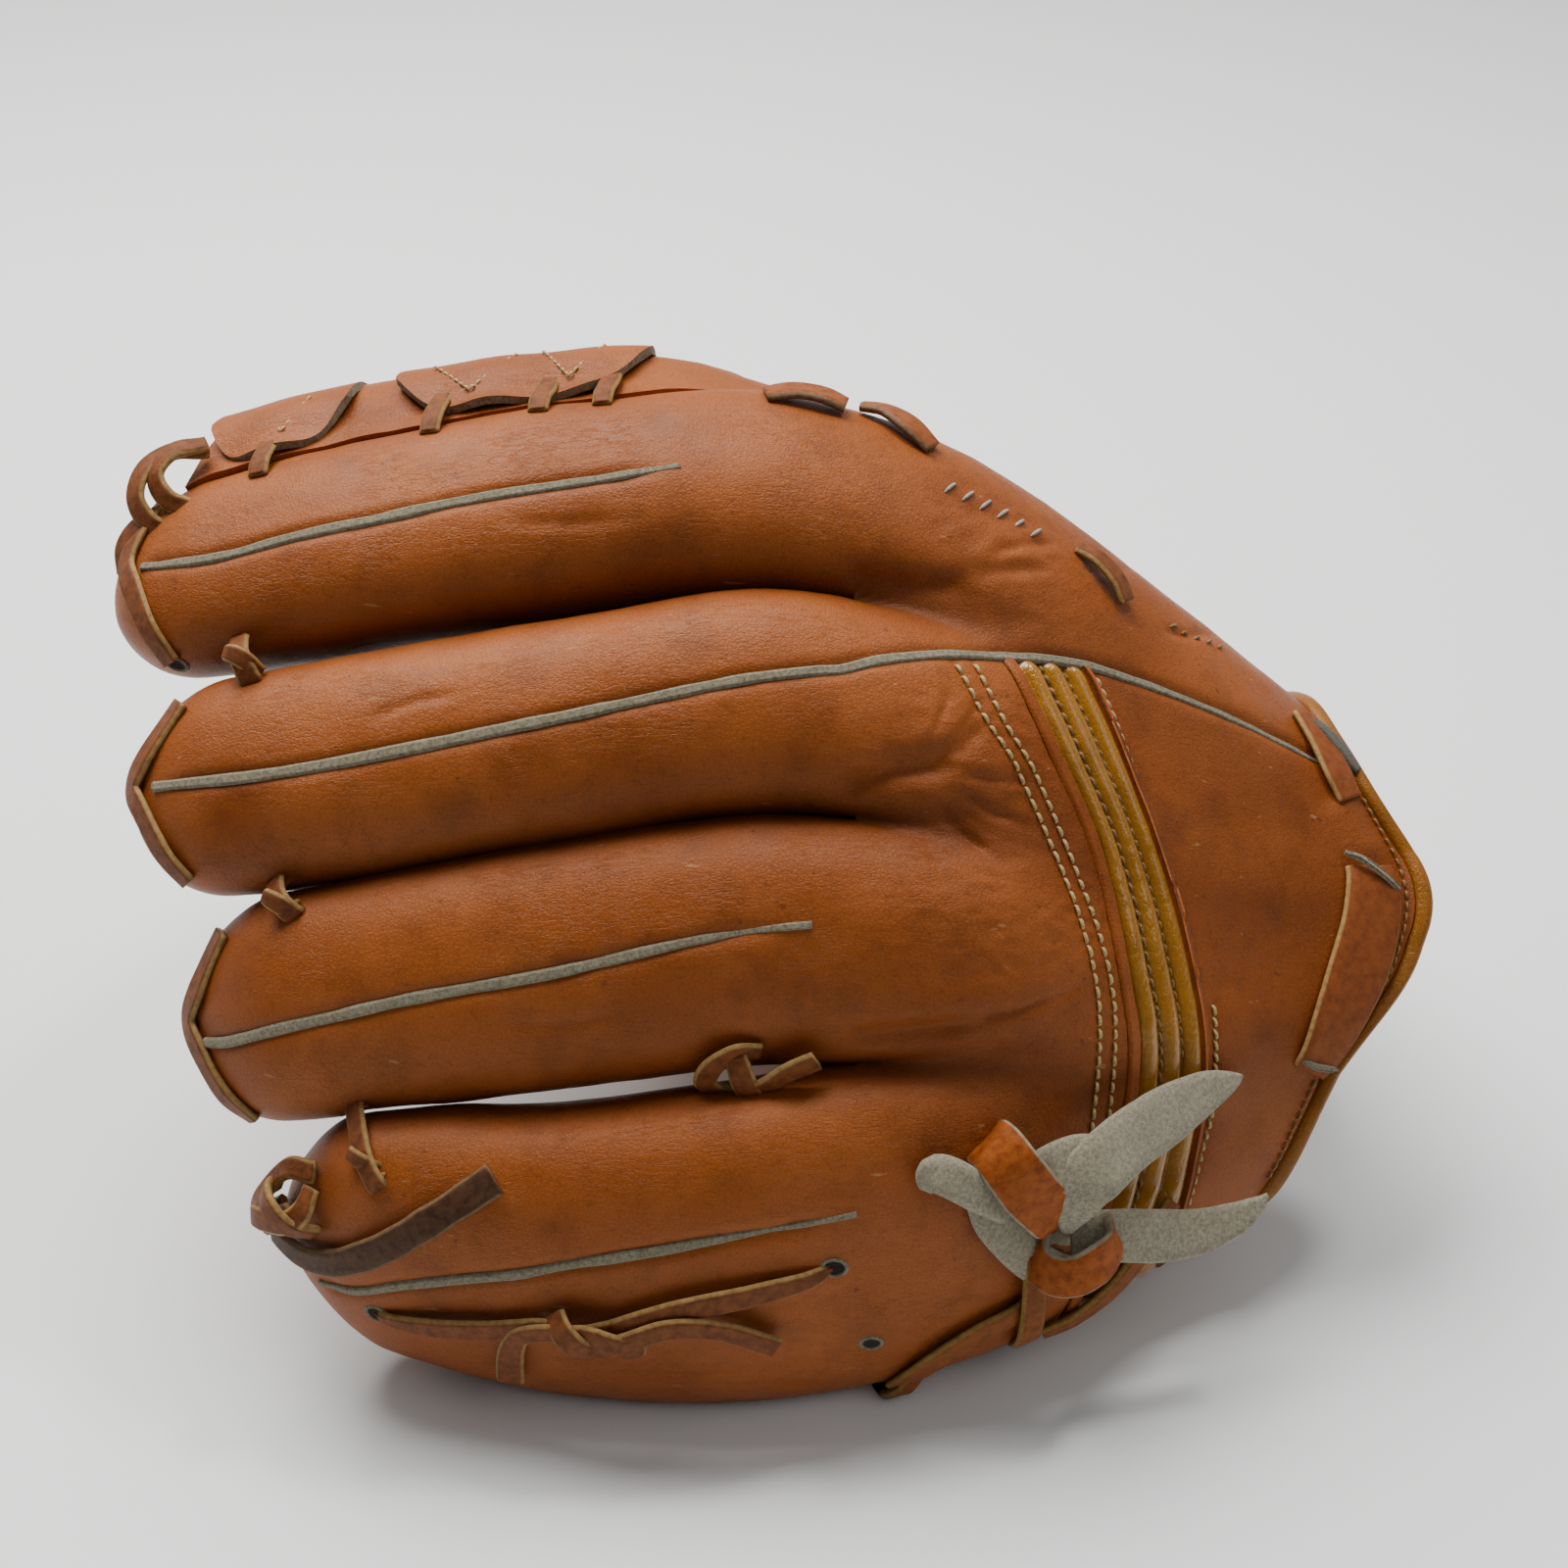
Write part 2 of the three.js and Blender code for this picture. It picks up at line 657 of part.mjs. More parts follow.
function weltMesh(name, look) {
  const rows = WELTS[name];
  const [start, end] = [rows[0][0], rows[rows.length - 1][0]];
  const places = WELT_TIP_STEPS.map((step) => start + step);
  while (places[places.length - 1] < end - WELT_STEP) places.push(places[places.length - 1] + WELT_STEP);
  places.push(end);
  const stations = places.map((x) => {
    return stallStation(name, x, readColumn(rows, 1, x), WELT_LIFT, readColumn(rows, 2, x));
  });
  if (name === "middle") {
    for (const x of HAND_WELT_X) stations.push(handStation(x, weltPlace(x), WELT_LIFT, WELT_WIDTH));
  }
  return strapMesh(name + "_welt", stations, WELT_THICKNESS, look);
}

// Joins overlapping closed meshes into one.
function fusedMesh(name, meshes, look) {
  const solids = meshes.map((mesh) => {
    const geometry = mesh.geometry.clone();
    geometry.deleteAttribute("normal");
    const merged = mergeVertices(geometry, 1e-4);
    const properties = {
      numProp: 3,
      vertProperties: new Float32Array(merged.attributes.position.array),
      triVerts: new Uint32Array(merged.index.array),
    };
    return new wasm.Manifold(new wasm.Mesh(properties));
  });
  const joined = solids.reduce((a, b) => a.add(b)).getMesh();
  const geometry = new THREE.BufferGeometry();
  geometry.setAttribute("position", new THREE.Float32BufferAttribute(joined.vertProperties, joined.numProp));
  geometry.setIndex(Array.from(joined.triVerts));
  geometry.computeVertexNormals();
  const mesh = new THREE.Mesh(geometry, look);
  mesh.name = name;
  return mesh;
}

// Stations from rows of x, y, z and width, all facing one way.
function freeStations(rows, normal) {
  return rows.map(([x, y, z, width]) => {
    return { point: new THREE.Vector3(x, y, z), normal: normal.clone(), width };
  });
}

const LACE_WIDTH = 5.5;
const LACE_THICKNESS = 1.7;
const LACE_END_THICKNESS = 2.4;
const KNOT_THICKNESS = 5;
const TIE_LIFT = 0.9;
const TIE_RISE = 2;
const TIE_WIDTH = 5;
const TIE_THICKNESS = 1.6;
const BELT_THICKNESS = 2.2;
const BELT_LIFT = 0.85;

// Laces over the finger tips. Columns: x, angle round the finger.
const TIP_LACES = {
  index: [
    [-140, 52],
    [-142.5, 12],
    [-141, -35],
    [-137, -66],
    [-132, -80],
  ],
  middle: [
    [-132, 55],
    [-135, 12],
    [-134, -30],
    [-130, -56],
    [-125, -68],
  ],
  ring: [
    [-121, 62],
    [-124, 20],
    [-123, -25],
    [-119, -55],
    [-113, -72],
  ],
};

// Rows with one more half way between each two.
function withMiddles(rows) {
  const dense = [];
  rows.forEach((row, i) => {
    if (i > 0) dense.push(row.map((value, k) => (value + rows[i - 1][k]) / 2));
    dense.push(row);
  });
  return dense;
}

// A strap on a finger from rows of x, angle and width.
function stallStrap(meshName, finger, rows, thickness, lift, look) {
  const stations = withMiddles(rows).map(([x, angle, width]) => stallStation(finger, x, angle, lift, width));
  return strapMesh(meshName, stations, thickness, look);
}

function tipLace(name, look) {
  const rows = TIP_LACES[name].map(([x, angle]) => [x, angle, LACE_WIDTH]);
  return stallStrap(name + "_tip_lace", name, rows, LACE_THICKNESS, TRIM_LIFT, look);
}

// Short laces that tie neighbouring fingers. Columns: upper finger, x, angle, lower finger, x, angle.
const TIES = [
  ["index", -117, -72, "middle", -114, 66],
  ["middle", -107, -70, "ring", -103, 62],
  ["ring", -90, -62, "pinky", -84, 60],
];

function fingerTie([upper, upperX, upperAngle, lower, lowerX, lowerAngle], look) {
  const first = stallStation(upper, upperX, upperAngle, TIE_LIFT, TIE_WIDTH);
  const last = stallStation(lower, lowerX, lowerAngle, TIE_LIFT, TIE_WIDTH);
  const normal = first.normal.clone().add(last.normal).normalize();
  const middle = first.point.clone().lerp(last.point, 0.5).addScaledVector(normal, TIE_RISE);
  const stations = [first.point, middle, last.point].map((point) => ({ point, normal, width: TIE_WIDTH }));
  return strapMesh(`${upper}_${lower}_tie`, stations, TIE_THICKNESS, look);
}

// The knotted lace across the valley between ring and little finger.
function ringPinkyKnot(look) {
  const rows = [
    [-15, -56, 5.5],
    [-9, -56, 7],
    [-2, -54, 7],
    [5, -50, 5.5],
  ];
  return stallStrap("ring_pinky_knot", "ring", rows, KNOT_THICKNESS, TRIM_LIFT, look);
}

// The lace knotted at the little finger's tip, with its flat tail.
function pinkyTipKnot(look) {
  const tail = [
    [-104, 48, 6.5],
    [-105.5, 18, 6.5],
    [-104, -8, 6.5],
    [-98, 2, 6.5],
    [-90, 20, 6.2],
    [-80, 42, 6],
    [-70, 57, 6],
    [-61, 66, 6],
  ];
  const knot = [
    [-103, 62, 9],
    [-104.5, 44, 11],
    [-104.5, 28, 8],
  ];
  const straps = [
    stallStrap("tail", "pinky", tail, LACE_THICKNESS, TRIM_LIFT + 0.6, look),
    stallStrap("knot", "pinky", knot, KNOT_THICKNESS, TRIM_LIFT + 1.8, look),
  ];
  return fusedMesh("pinky_tip_knot", straps, look);
}

// The long lace on the little finger, its knot and its two ends.
function pinkyLoopLace(look) {
  const run = [
    [-85, -32, 3],
    [-76, -26, 5],
    [-60, -14, 5.5],
    [-45, -4, 5.5],
    [-30, 4, 5.5],
    [-12, 12, 5.5],
    [2, 15, 5],
    [9, 17, 3],
  ];
  const leftEnd = [
    [-44, -2, 5.5],
    [-52, -10, 5.5],
    [-57, -26, 5.5],
    [-58, -42, 5.5],
    [-58.5, -56, 5.5],
  ];
  const rightEnd = [
    [-42, -8, 5.5],
    [-32, -10, 5.5],
    [-22, -2, 5.5],
    [-10, -14, 5.5],
    [-2, -26, 5.5],
  ];
  const knot = [
    [-50, -2, 6],
    [-44, -4, 10],
    [-38, -8, 6],
  ];
  const straps = [
    stallStrap("run", "pinky", run, LACE_THICKNESS, TRIM_LIFT, look),
    stallStrap("left_end", "pinky", leftEnd, LACE_END_THICKNESS, TRIM_LIFT + 0.1, look),
    stallStrap("right_end", "pinky", rightEnd, LACE_END_THICKNESS, TRIM_LIFT + 0.1, look),
    stallStrap("knot", "pinky", knot, KNOT_THICKNESS, TRIM_LIFT, look),
  ];
  return fusedMesh("pinky_loop_lace", straps, look);
}

// The wide strap tied at the heel: a loop, two wraps and two ends. Columns: x, y, z, width.
const WRIST_TIE = {
  loop: [
    [30, 1, 67, 7],
    [36, -4, 60, 10],
    [44, -5, 52, 12],
    [53, -4, 45, 12],
    [62, -4, 43, 12],
  ],
  upperWrap: [
    [46, -3, 68, 13],
    [52, -5, 60, 13],
    [58, -5, 51, 13],
  ],
  lowerWrap: [
    [58, -5, 52, 13],
    [64, -5, 46, 13],
    [69, -3, 38, 12],
  ],
  upperEnd: [
    [60, -4, 50, 9],
    [70, 2, 58, 11.5],
    [82, 10, 64, 12],
    [93, 19, 67, 9],
    [101, 26, 68, 1],
  ],
  lowerEnd: [
    [64, -4, 44, 10],
    [76, 2, 43, 12],
    [90, 8, 44, 12],
    [99, 12, 47, 8],
    [105, 15, 50, 1],
  ],
};
const WRIST_TIE_THICKNESS = 2.4;

function wristTie(look) {
  const facing = new THREE.Vector3(0.2, -0.9, 0.35);
  const straps = Object.values(WRIST_TIE).map((rows) => {
    return strapMesh("part", freeStations(rows, facing), WRIST_TIE_THICKNESS, look);
  });
  return fusedMesh("wrist_tie", straps, look);
}

// Lacing along the heel's little-finger edge. Columns: x, perimeter place, width.
function heelLace(look) {
  const rows = [
    [24, -0.4, 7],
    [30, -0.34, 5],
    [40, -0.28, 6],
    [50, -0.3, 5],
    [60, -0.33, 6],
    [70, -0.3, 5],
    [80, -0.24, 6],
    [88, -0.2, 4],
  ];
  const stations = withMiddles(rows).map(([x, place, width]) => handStation(x, place, BELT_LIFT, width));
  return strapMesh("heel_lace", stations, BELT_THICKNESS, look);
}

// The belt that shows between its slots on the wrist panel. Columns: x, perimeter place, width.
function wristBelt(look) {
  const rows = [
    [127, 2.15, 8],
    [130.5, 1.85, 9.5],
    [132.5, 1.5, 9.5],
    [132.5, 1.1, 9.5],
    [130, 0.75, 9.5],
    [125, 0.45, 9.5],
    [117.5, 0.18, 7],
  ];
  const stations = withMiddles(rows).map(([x, place, width]) => handStation(x, place, BELT_LIFT, width));
  return strapMesh("wrist_belt", stations, BELT_THICKNESS, look);
}

// Steps round the opening, the gap to the panels' ends, and the binding's length and its rise
// above the leather
const BINDING = { steps: 60, seat: 0.6, length: 4, rise: 0.9 };

// The rolled edge round the whole wrist opening.
function wristBinding(look) {
  const { steps, seat, length, rise } = BINDING;
  const vertices = [];
  const triangles = [];
  for (let i = 0; i < steps; i += 1) {
    const place = PINKY_EDGE + (PERIMETER * i) / steps;
    const end = wristX(place);
    const onPalm = place > THUMB_EDGE;
    const outer = handPoint(end, place, rise);
    const inner = liningPoint(end, place, (onPalm ? PALM_WALL : BACK_WALL) - rise);
    const [low, high] = [end + seat, end + seat + length];
    vertices.push(outer.clone().setX(low), outer.clone().setX(high));
    vertices.push(inner.clone().setX(high), inner.clone().setX(low));
  }
  for (let i = 0; i < steps; i += 1) {
    const next = (i + 1) % steps;
    for (let k = 0; k < 4; k += 1) {
      const corner = (k + 1) % 4;
      addQuad(triangles, i * 4 + k, i * 4 + corner, next * 4 + corner, next * 4 + k);
    }
  }
  return closedMesh("wrist_binding", vertices, triangles, look);
}

// The web between index finger and thumb: its crest and shoulder. Columns: x, crest y and z,
// shoulder y and z.
const WEB_TABLE = [
  [-130, 146, 168, 168, 154],
  [-100, 153, 174, 173, 156],
  [-60, 157, 178, 178, 154],
  [-20, 159, 176, 182, 142],
  [9, 160, 164, 184, 124],
];
const WEB_THICKNESS = 5;
const WEB_INDEX_ANGLE = 66;
const WEB_THUMB_ANGLE = -62;
const WEB_INDEX_FIRST_X = -140;
const WEB_THUMB_FIRST_X = -98;
const LOBE_THICKNESS = 4;
const TIP_LOOP_THICKNESS = 3;

// A point on the web's outer face at x and a share across it, from index finger to thumb.
function webPoint(x, share, depth) {
  const edgePoint = (name, firstX, angle, lift) => {
    return stallStation(name, Math.max(x, firstX), angle, lift + WEB_THICKNESS, 0).point.setX(x);
  };
  const index = edgePoint("index", WEB_INDEX_FIRST_X, WEB_INDEX_ANGLE, TRIM_LIFT);
  const thumb = edgePoint("thumb", WEB_THUMB_FIRST_X, WEB_THUMB_ANGLE, TRIM_LIFT);
  const crest = new THREE.Vector3(x, readColumn(WEB_TABLE, 1, x), readColumn(WEB_TABLE, 2, x));
  const shoulder = new THREE.Vector3(x, readColumn(WEB_TABLE, 3, x), readColumn(WEB_TABLE, 4, x));
  const curve = new THREE.CatmullRomCurve3([index, crest, shoulder, thumb], false, "centripetal");
  const tangent = curve.getTangent(share);
  const outward = new THREE.Vector3(0, -tangent.z, tangent.y).normalize();
  return curve.getPoint(share).addScaledVector(outward, -depth);
}

// A piece of the web between two x edges and two shares. Its tip edge slants back by `slant`
// towards the thumb.
function webPiece(name, [fromX, toX, slant], shares, depths, [columns, rows], look) {
  const pointAt = (i, j, side) => {
    const share = shares[0] + ((shares[1] - shares[0]) * j) / rows;
    const start = fromX + slant * share;
    return webPoint(start + ((toX - start) * i) / columns, share, depths[side]);
  };
  return panelMesh(name, columns, rows, pointAt, look);
}

// The lace loops that join the web's tip to the index finger's tip. Columns: x, y, z, width.
function webTipLace(look) {
  const first = [
    [-137, 112, 164, 6],
    [-142, 118, 170, 7],
    [-140, 127, 177, 7],
    [-131, 134, 178, 6],
  ];
  const second = [
    [-133, 113, 167, 5],
    [-136, 119, 175, 6],
    [-132, 127, 181, 6],
    [-124, 134, 180, 5],
  ];
  const facing = new THREE.Vector3(-0.5, -0.4, 0.8);
  const straps = [first, second].map((rows) => {
    return strapMesh("part", freeStations(rows, facing), TIP_LOOP_THICKNESS, look);
  });
  return fusedMesh("web_tip_lace", straps, look);
}

const glove = new THREE.Group();
for (const name of ["index", "middle", "ring", "pinky", "thumb"]) {
  glove.add(stallMesh(name, material(COLOURS.leather, 0.5)));
}
glove.add(...handPanels());
glove.add(crotchWall(material(COLOURS.leather, 0.5)));
for (const name of ["index", "middle", "ring", "pinky"]) {
  glove.add(weltMesh(name, material(COLOURS.suede, 0.9)));
}
const laceLook = () => material(COLOURS.lace, 0.6);
for (const name of ["index", "middle", "ring"]) glove.add(tipLace(name, laceLook()));
for (const row of TIES) glove.add(fingerTie(row, laceLook()));
glove.add(ringPinkyKnot(laceLook()));
glove.add(pinkyTipKnot(material(COLOURS.darkLace, 0.8)));
glove.add(pinkyLoopLace(laceLook()));
glove.add(wristTie(material(COLOURS.suede, 0.8)));
glove.add(heelLace(laceLook()));
glove.add(wristBelt(material(COLOURS.leather, 0.5)));
glove.add(wristBinding(material(COLOURS.binding, 0.45)));
const webLook = () => material(COLOURS.leather, 0.5);
const webDepths = [0, WEB_THICKNESS];
const lobeDepths = [-LOBE_THICKNESS - GAP, -GAP];
const webShares = [0.1, 1];
const lobeShares = [0.02, 0.32];
glove.add(webPiece("web_panel", [-130, 10, 26], webShares, webDepths, [8, 8], webLook()));
glove.add(webPiece("web_lobe_rear", [-86, -34, 0], lobeShares, lobeDepths, [5, 4], webLook()));
glove.add(webPiece("web_lobe_front", [-128, -102, 12], lobeShares, lobeDepths, [4, 4], webLook()));
glove.add(webTipLace(laceLook()));
glove.position.copy(FRAME_SHIFT);

export default glove;
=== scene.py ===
# A worn left-hand baseball infield glove lying palm down, fingers to the left.
#
# All shapes are worked out in millimetres in drawing axes: x along the fingers (wrist at +x),
# y away from the little finger, z up. A skin point on a finger is given by its x and an angle
# round the finger, and one on the hand by its x and a place on the hand's perimeter.

import itertools
import math

import bmesh
import bpy
import numpy as np
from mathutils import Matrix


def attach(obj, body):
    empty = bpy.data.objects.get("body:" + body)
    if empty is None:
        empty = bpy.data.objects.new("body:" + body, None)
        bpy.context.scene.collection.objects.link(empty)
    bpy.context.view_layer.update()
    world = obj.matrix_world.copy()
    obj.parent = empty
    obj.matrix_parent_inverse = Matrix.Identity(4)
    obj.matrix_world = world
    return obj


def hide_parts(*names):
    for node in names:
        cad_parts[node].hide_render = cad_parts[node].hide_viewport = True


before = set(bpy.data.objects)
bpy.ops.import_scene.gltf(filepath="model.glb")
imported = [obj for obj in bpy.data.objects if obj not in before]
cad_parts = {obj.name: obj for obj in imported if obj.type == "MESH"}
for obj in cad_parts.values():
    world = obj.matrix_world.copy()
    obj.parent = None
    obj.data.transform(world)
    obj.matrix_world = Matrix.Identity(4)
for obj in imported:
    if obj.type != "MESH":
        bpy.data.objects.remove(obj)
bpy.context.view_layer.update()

MM = 0.001

# Leather and clearance sizes
STALL_WALL = 3.2
BACK_WALL = 3.2
PALM_WALL = 7.0
LEAST_WALL = 1.4
LEAST_HOLLOW = 2.0
LEAST_HALF_SIZE = 0.5
GAP = 0.3

# The glove's shape
SQUARENESS = 2.3
KNUCKLE_X = 15.0
FINGER_BLEND = 1.0
HAND_BLEND = 18.0
BLEND_START_X = 10.0
BLEND_END_X = 70.0
HEEL_START_X = 60.0
HEEL_END_X = 130.0
HEEL_DOWN = 0.8
FLOOR_Z = 4.5
FRAME_SHIFT = np.array([1.35, -98.82, -FLOOR_Z])
BEYOND_TIP = 50.0

# How much skin one step of perimeter place takes, and a finger's usual radius
PLACE_LENGTH = 34
FINGER_RADIUS = 24

# Spacing of the leather's mesh, and how many of its steps one step of the lining takes
SPACING = 0.9
LINING_STRIDE = 4

# Centre line and section of each finger and of the thumb's base. Columns: x, y, z of the
# centre, half width, half thickness, and lean of the outer face's normal in degrees.
SAUSAGES = {
    "pinky": [
        [-108, 15, 43, 24, 12, 6],
        [-88, 13, 41, 30, 16, 6],
        [-50, 10, 38, 36, 20, 5],
        [0, 11, 41, 40, 21, 6],
        [45, 21, 44, 38, 21, 12],
        [90, 46, 43, 30, 22, 24],
        [140, 74, 52, 22, 20, 30],
    ],
    "ring": [
        [-129, 40, 78, 24, 12, 30],
        [-108, 38, 83, 25, 16, 30],
        [-50, 40, 93, 27, 20, 33],
        [0, 42, 99, 27, 21, 33],
        [45, 44, 94, 26, 21, 33],
        [90, 60, 73, 24, 22, 38],
        [140, 84, 62, 20, 22, 45],
    ],
    "middle": [
        [-141, 69, 117, 22, 12, 44],
        [-118, 68, 120, 24, 16, 44],
        [-50, 71, 131, 25, 20, 47],
        [0, 74, 136, 25, 21, 50],
        [45, 74, 124, 26, 21, 52],
        [90, 82, 98, 24, 22, 52],
        [140, 95, 68, 20, 24, 60],
    ],
    "index": [
        [-150, 108, 144, 21, 12, 62],
        [-125, 108, 149, 24, 16, 64],
        [-50, 112, 162, 26, 20, 68],
        [0, 114, 163, 26, 21, 72],
        [45, 112, 147, 27, 21, 76],
        [90, 109, 114, 24, 22, 78],
        [140, 108, 71, 20, 25, 80],
    ],
    "crotch": [
        [12, 154, 134, 24, 16, 104],
        [22, 155, 130, 27, 18, 108],
        [45, 156, 108, 30, 20, 122],
        [90, 140, 90, 27, 22, 118],
        [140, 122, 66, 18, 22, 105],
    ],
    "base": [
        [12, 178, 92, 26, 14, 138],
        [22, 177, 88, 30, 16, 140],
        [45, 172, 72, 32, 19, 145],
        [90, 150, 64, 28, 20, 136],
        [140, 128, 60, 18, 20, 120],
    ],
    "thumb": [
        [-112, 190, 106, 22, 12, 168],
        [-90, 194, 96, 26, 16, 170],
        [-40, 195, 70, 30, 19, 172],
        [0, 190, 48, 32, 20, 170],
        [40, 180, 35, 34, 20, 165],
        [90, 158, 40, 33, 20, 150],
        [140, 134, 54, 20, 18, 135],
    ],
}
ORDER = ["pinky", "ring", "middle", "index", "crotch", "base", "thumb"]
TIP_LENGTH = {"pinky": 22, "ring": 23, "middle": 22, "index": 22, "thumb": 26}
LAST = len(ORDER) - 1

# Edges of the stretch band. Columns: share of the way from the little-finger edge to the
# middle welt, left edge x, right edge x.
BAND_TABLE = [
    [0, 57, 84],
    [0.17, 68, 90],
    [0.37, 73, 91],
    [0.52, 70, 88],
    [0.72, 64, 81],
    [0.86, 55, 74],
    [1, 46, 65],
]
# The wrist opening's edge round the hand. Columns: perimeter place, x.
WRIST_TABLE = [
    [-0.5, 106],
    [0, 120],
    [0.5, 135],
    [1, 141],
    [1.9, 141],
    [2.6, 131],
    [3, 126],
    [4, 119],
    [5, 113],
    [6, 110],
    [7, 113],
    [8, 121],
    [9, 127],
    [10, 129],
    [11, 128],
    [12, 124],
    [13, 113],
    [13.5, 106],
]
# Perimeter place of the middle finger's welt. Columns: x, place.
WELT_TABLE = [
    [-150, 2],
    [0, 2],
    [42, 2.3],
    [70, 2.48],
    [100, 2.6],
    [140, 2.7],
]
WRIST_WELT_PLACE = 2.68
PINKY_EDGE = -0.5
THUMB_EDGE = LAST + 0.5
THUMB_BACK_START = 4.6
PERIMETER = 2 * LAST + 2
PLACE_GAP = GAP / PLACE_LENGTH


# Reads one column of a table at x, on a smooth curve through its rows.
def read_column(rows, column, x):
    table = np.array(rows, float)
    xs, ys = table[:, 0], table[:, column]
    spans = np.diff(xs)
    slopes = np.diff(ys) / spans
    tangents = np.concatenate([slopes[:1], slopes])
    tangents[1:-1] = (slopes[:-1] * spans[1:] + slopes[1:] * spans[:-1]) / (spans[:-1] + spans[1:])
    clamped = np.clip(x, xs[0], xs[-1])
    i = np.clip(np.searchsorted(xs, clamped) - 1, 0, len(xs) - 2)
    t = (clamped - xs[i]) / spans[i]
    before = (2 * t**3 - 3 * t**2 + 1) * ys[i] + (t**3 - 2 * t**2 + t) * spans[i] * tangents[i]
    after = (3 * t**2 - 2 * t**3) * ys[i + 1] + (t**3 - t**2) * spans[i] * tangents[i + 1]
    return before + after


def smoothstep(x, start, end):
    t = np.clip((x - start) / (end - start), 0, 1)
    return t * t * (3 - 2 * t)


# Section of one sausage at each x: centre, half sizes, and its lean's sine and cosine.
def section(name, x, inset=0.0):
    rows = SAUSAGES[name]
    y, z, wide, thick, lean = [read_column(rows, column, x) for column in range(1, 6)]
    roundness = 1.0
    if name in TIP_LENGTH:
        along = np.clip((x - rows[0][0] - inset) / TIP_LENGTH[name], 0, 1)
        roundness = np.sqrt(1 - (1 - along) ** 2)
    angle = np.radians(lean)
    return {
        "y": y,
        "z": z,
        "wide": np.maximum((wide - inset) * roundness, LEAST_HALF_SIZE),
        "thick": np.maximum((thick - inset) * roundness, LEAST_HALF_SIZE),
        "sin": np.sin(angle),
        "cos": np.cos(angle),
        "beyond": x < rows[0][0],
    }


# Distance from a sausage's skin, below zero inside it.
def oval_distance(s, y, z):
    dy = y - s["y"]
    dz = z - s["z"]
    across = np.abs(dy * s["sin"] + dz * s["cos"]) / s["wide"]
    out = np.abs(dz * s["sin"] - dy * s["cos"]) / s["thick"]
    ratio = np.maximum(across**SQUARENESS + out**SQUARENESS, 1e-9) ** (1 / SQUARENESS)
    radius = np.hypot(dy, dz)
    distance = np.where(ratio < 1e-3, -s["thick"], radius - radius / ratio)
    return np.where(s["beyond"], BEYOND_TIP, distance)


def blended_least(a, b, blend):
    return np.minimum(a, b) - np.maximum(blend - np.abs(a - b), 0) ** 2 / (4 * blend)


# The distance from the whole hand's skin, as a function of y and z at given x.
def hand_field(x):
    sections = [section(name, x) for name in ORDER]
    joined = smoothstep(x, BLEND_START_X, BLEND_END_X)
    finger_blend = FINGER_BLEND + (HAND_BLEND - FINGER_BLEND) * joined

    def distance(y, z):
        least = oval_distance(sections[0], y, z)
        for i in range(1, len(ORDER)):
            blend = finger_blend if i < ORDER.index("crotch") else HAND_BLEND
            least = blended_least(least, oval_distance(sections[i], y, z), blend)
        return least

    return distance


# The same for one finger, which ends half way to each of its neighbours.
def stall_field(name, x):
    own = section(name, x)
    place = ORDER.index(name)
    others = [other for other in ORDER[max(place - 1, 0) : place + 2] if other != name]
    sections = [section(other, x) for other in others if other in TIP_LENGTH]

    def distance(y, z):
        skin = oval_distance(own, y, z)
        least = skin
        for other in sections:
            least = np.maximum(least, (skin - oval_distance(other, y, z) + GAP) / 2)
        return least

    return distance


# Length along each ray, in the plane of its x, to where the distance reaches a level.
def reach(distance, origin, direction, level=0.0):
    stride, limit, halvings = 2.5, 90.0, 16
    near = np.zeros_like(origin[0])
    far = near + stride
    for _ in range(int(limit / stride)):
        inside = distance(origin[0] + direction[0] * far, origin[1] + direction[1] * far) < level
        if not inside.any():
            break
        near = np.where(inside, far, near)
        far = np.where(inside, far + stride, far)
    for _ in range(halvings):
        middle = (near + far) / 2
        inside = distance(origin[0] + direction[0] * middle, origin[1] + direction[1] * middle) < level
        near = np.where(inside, middle, near)
        far = np.where(inside, far, middle)
    return near


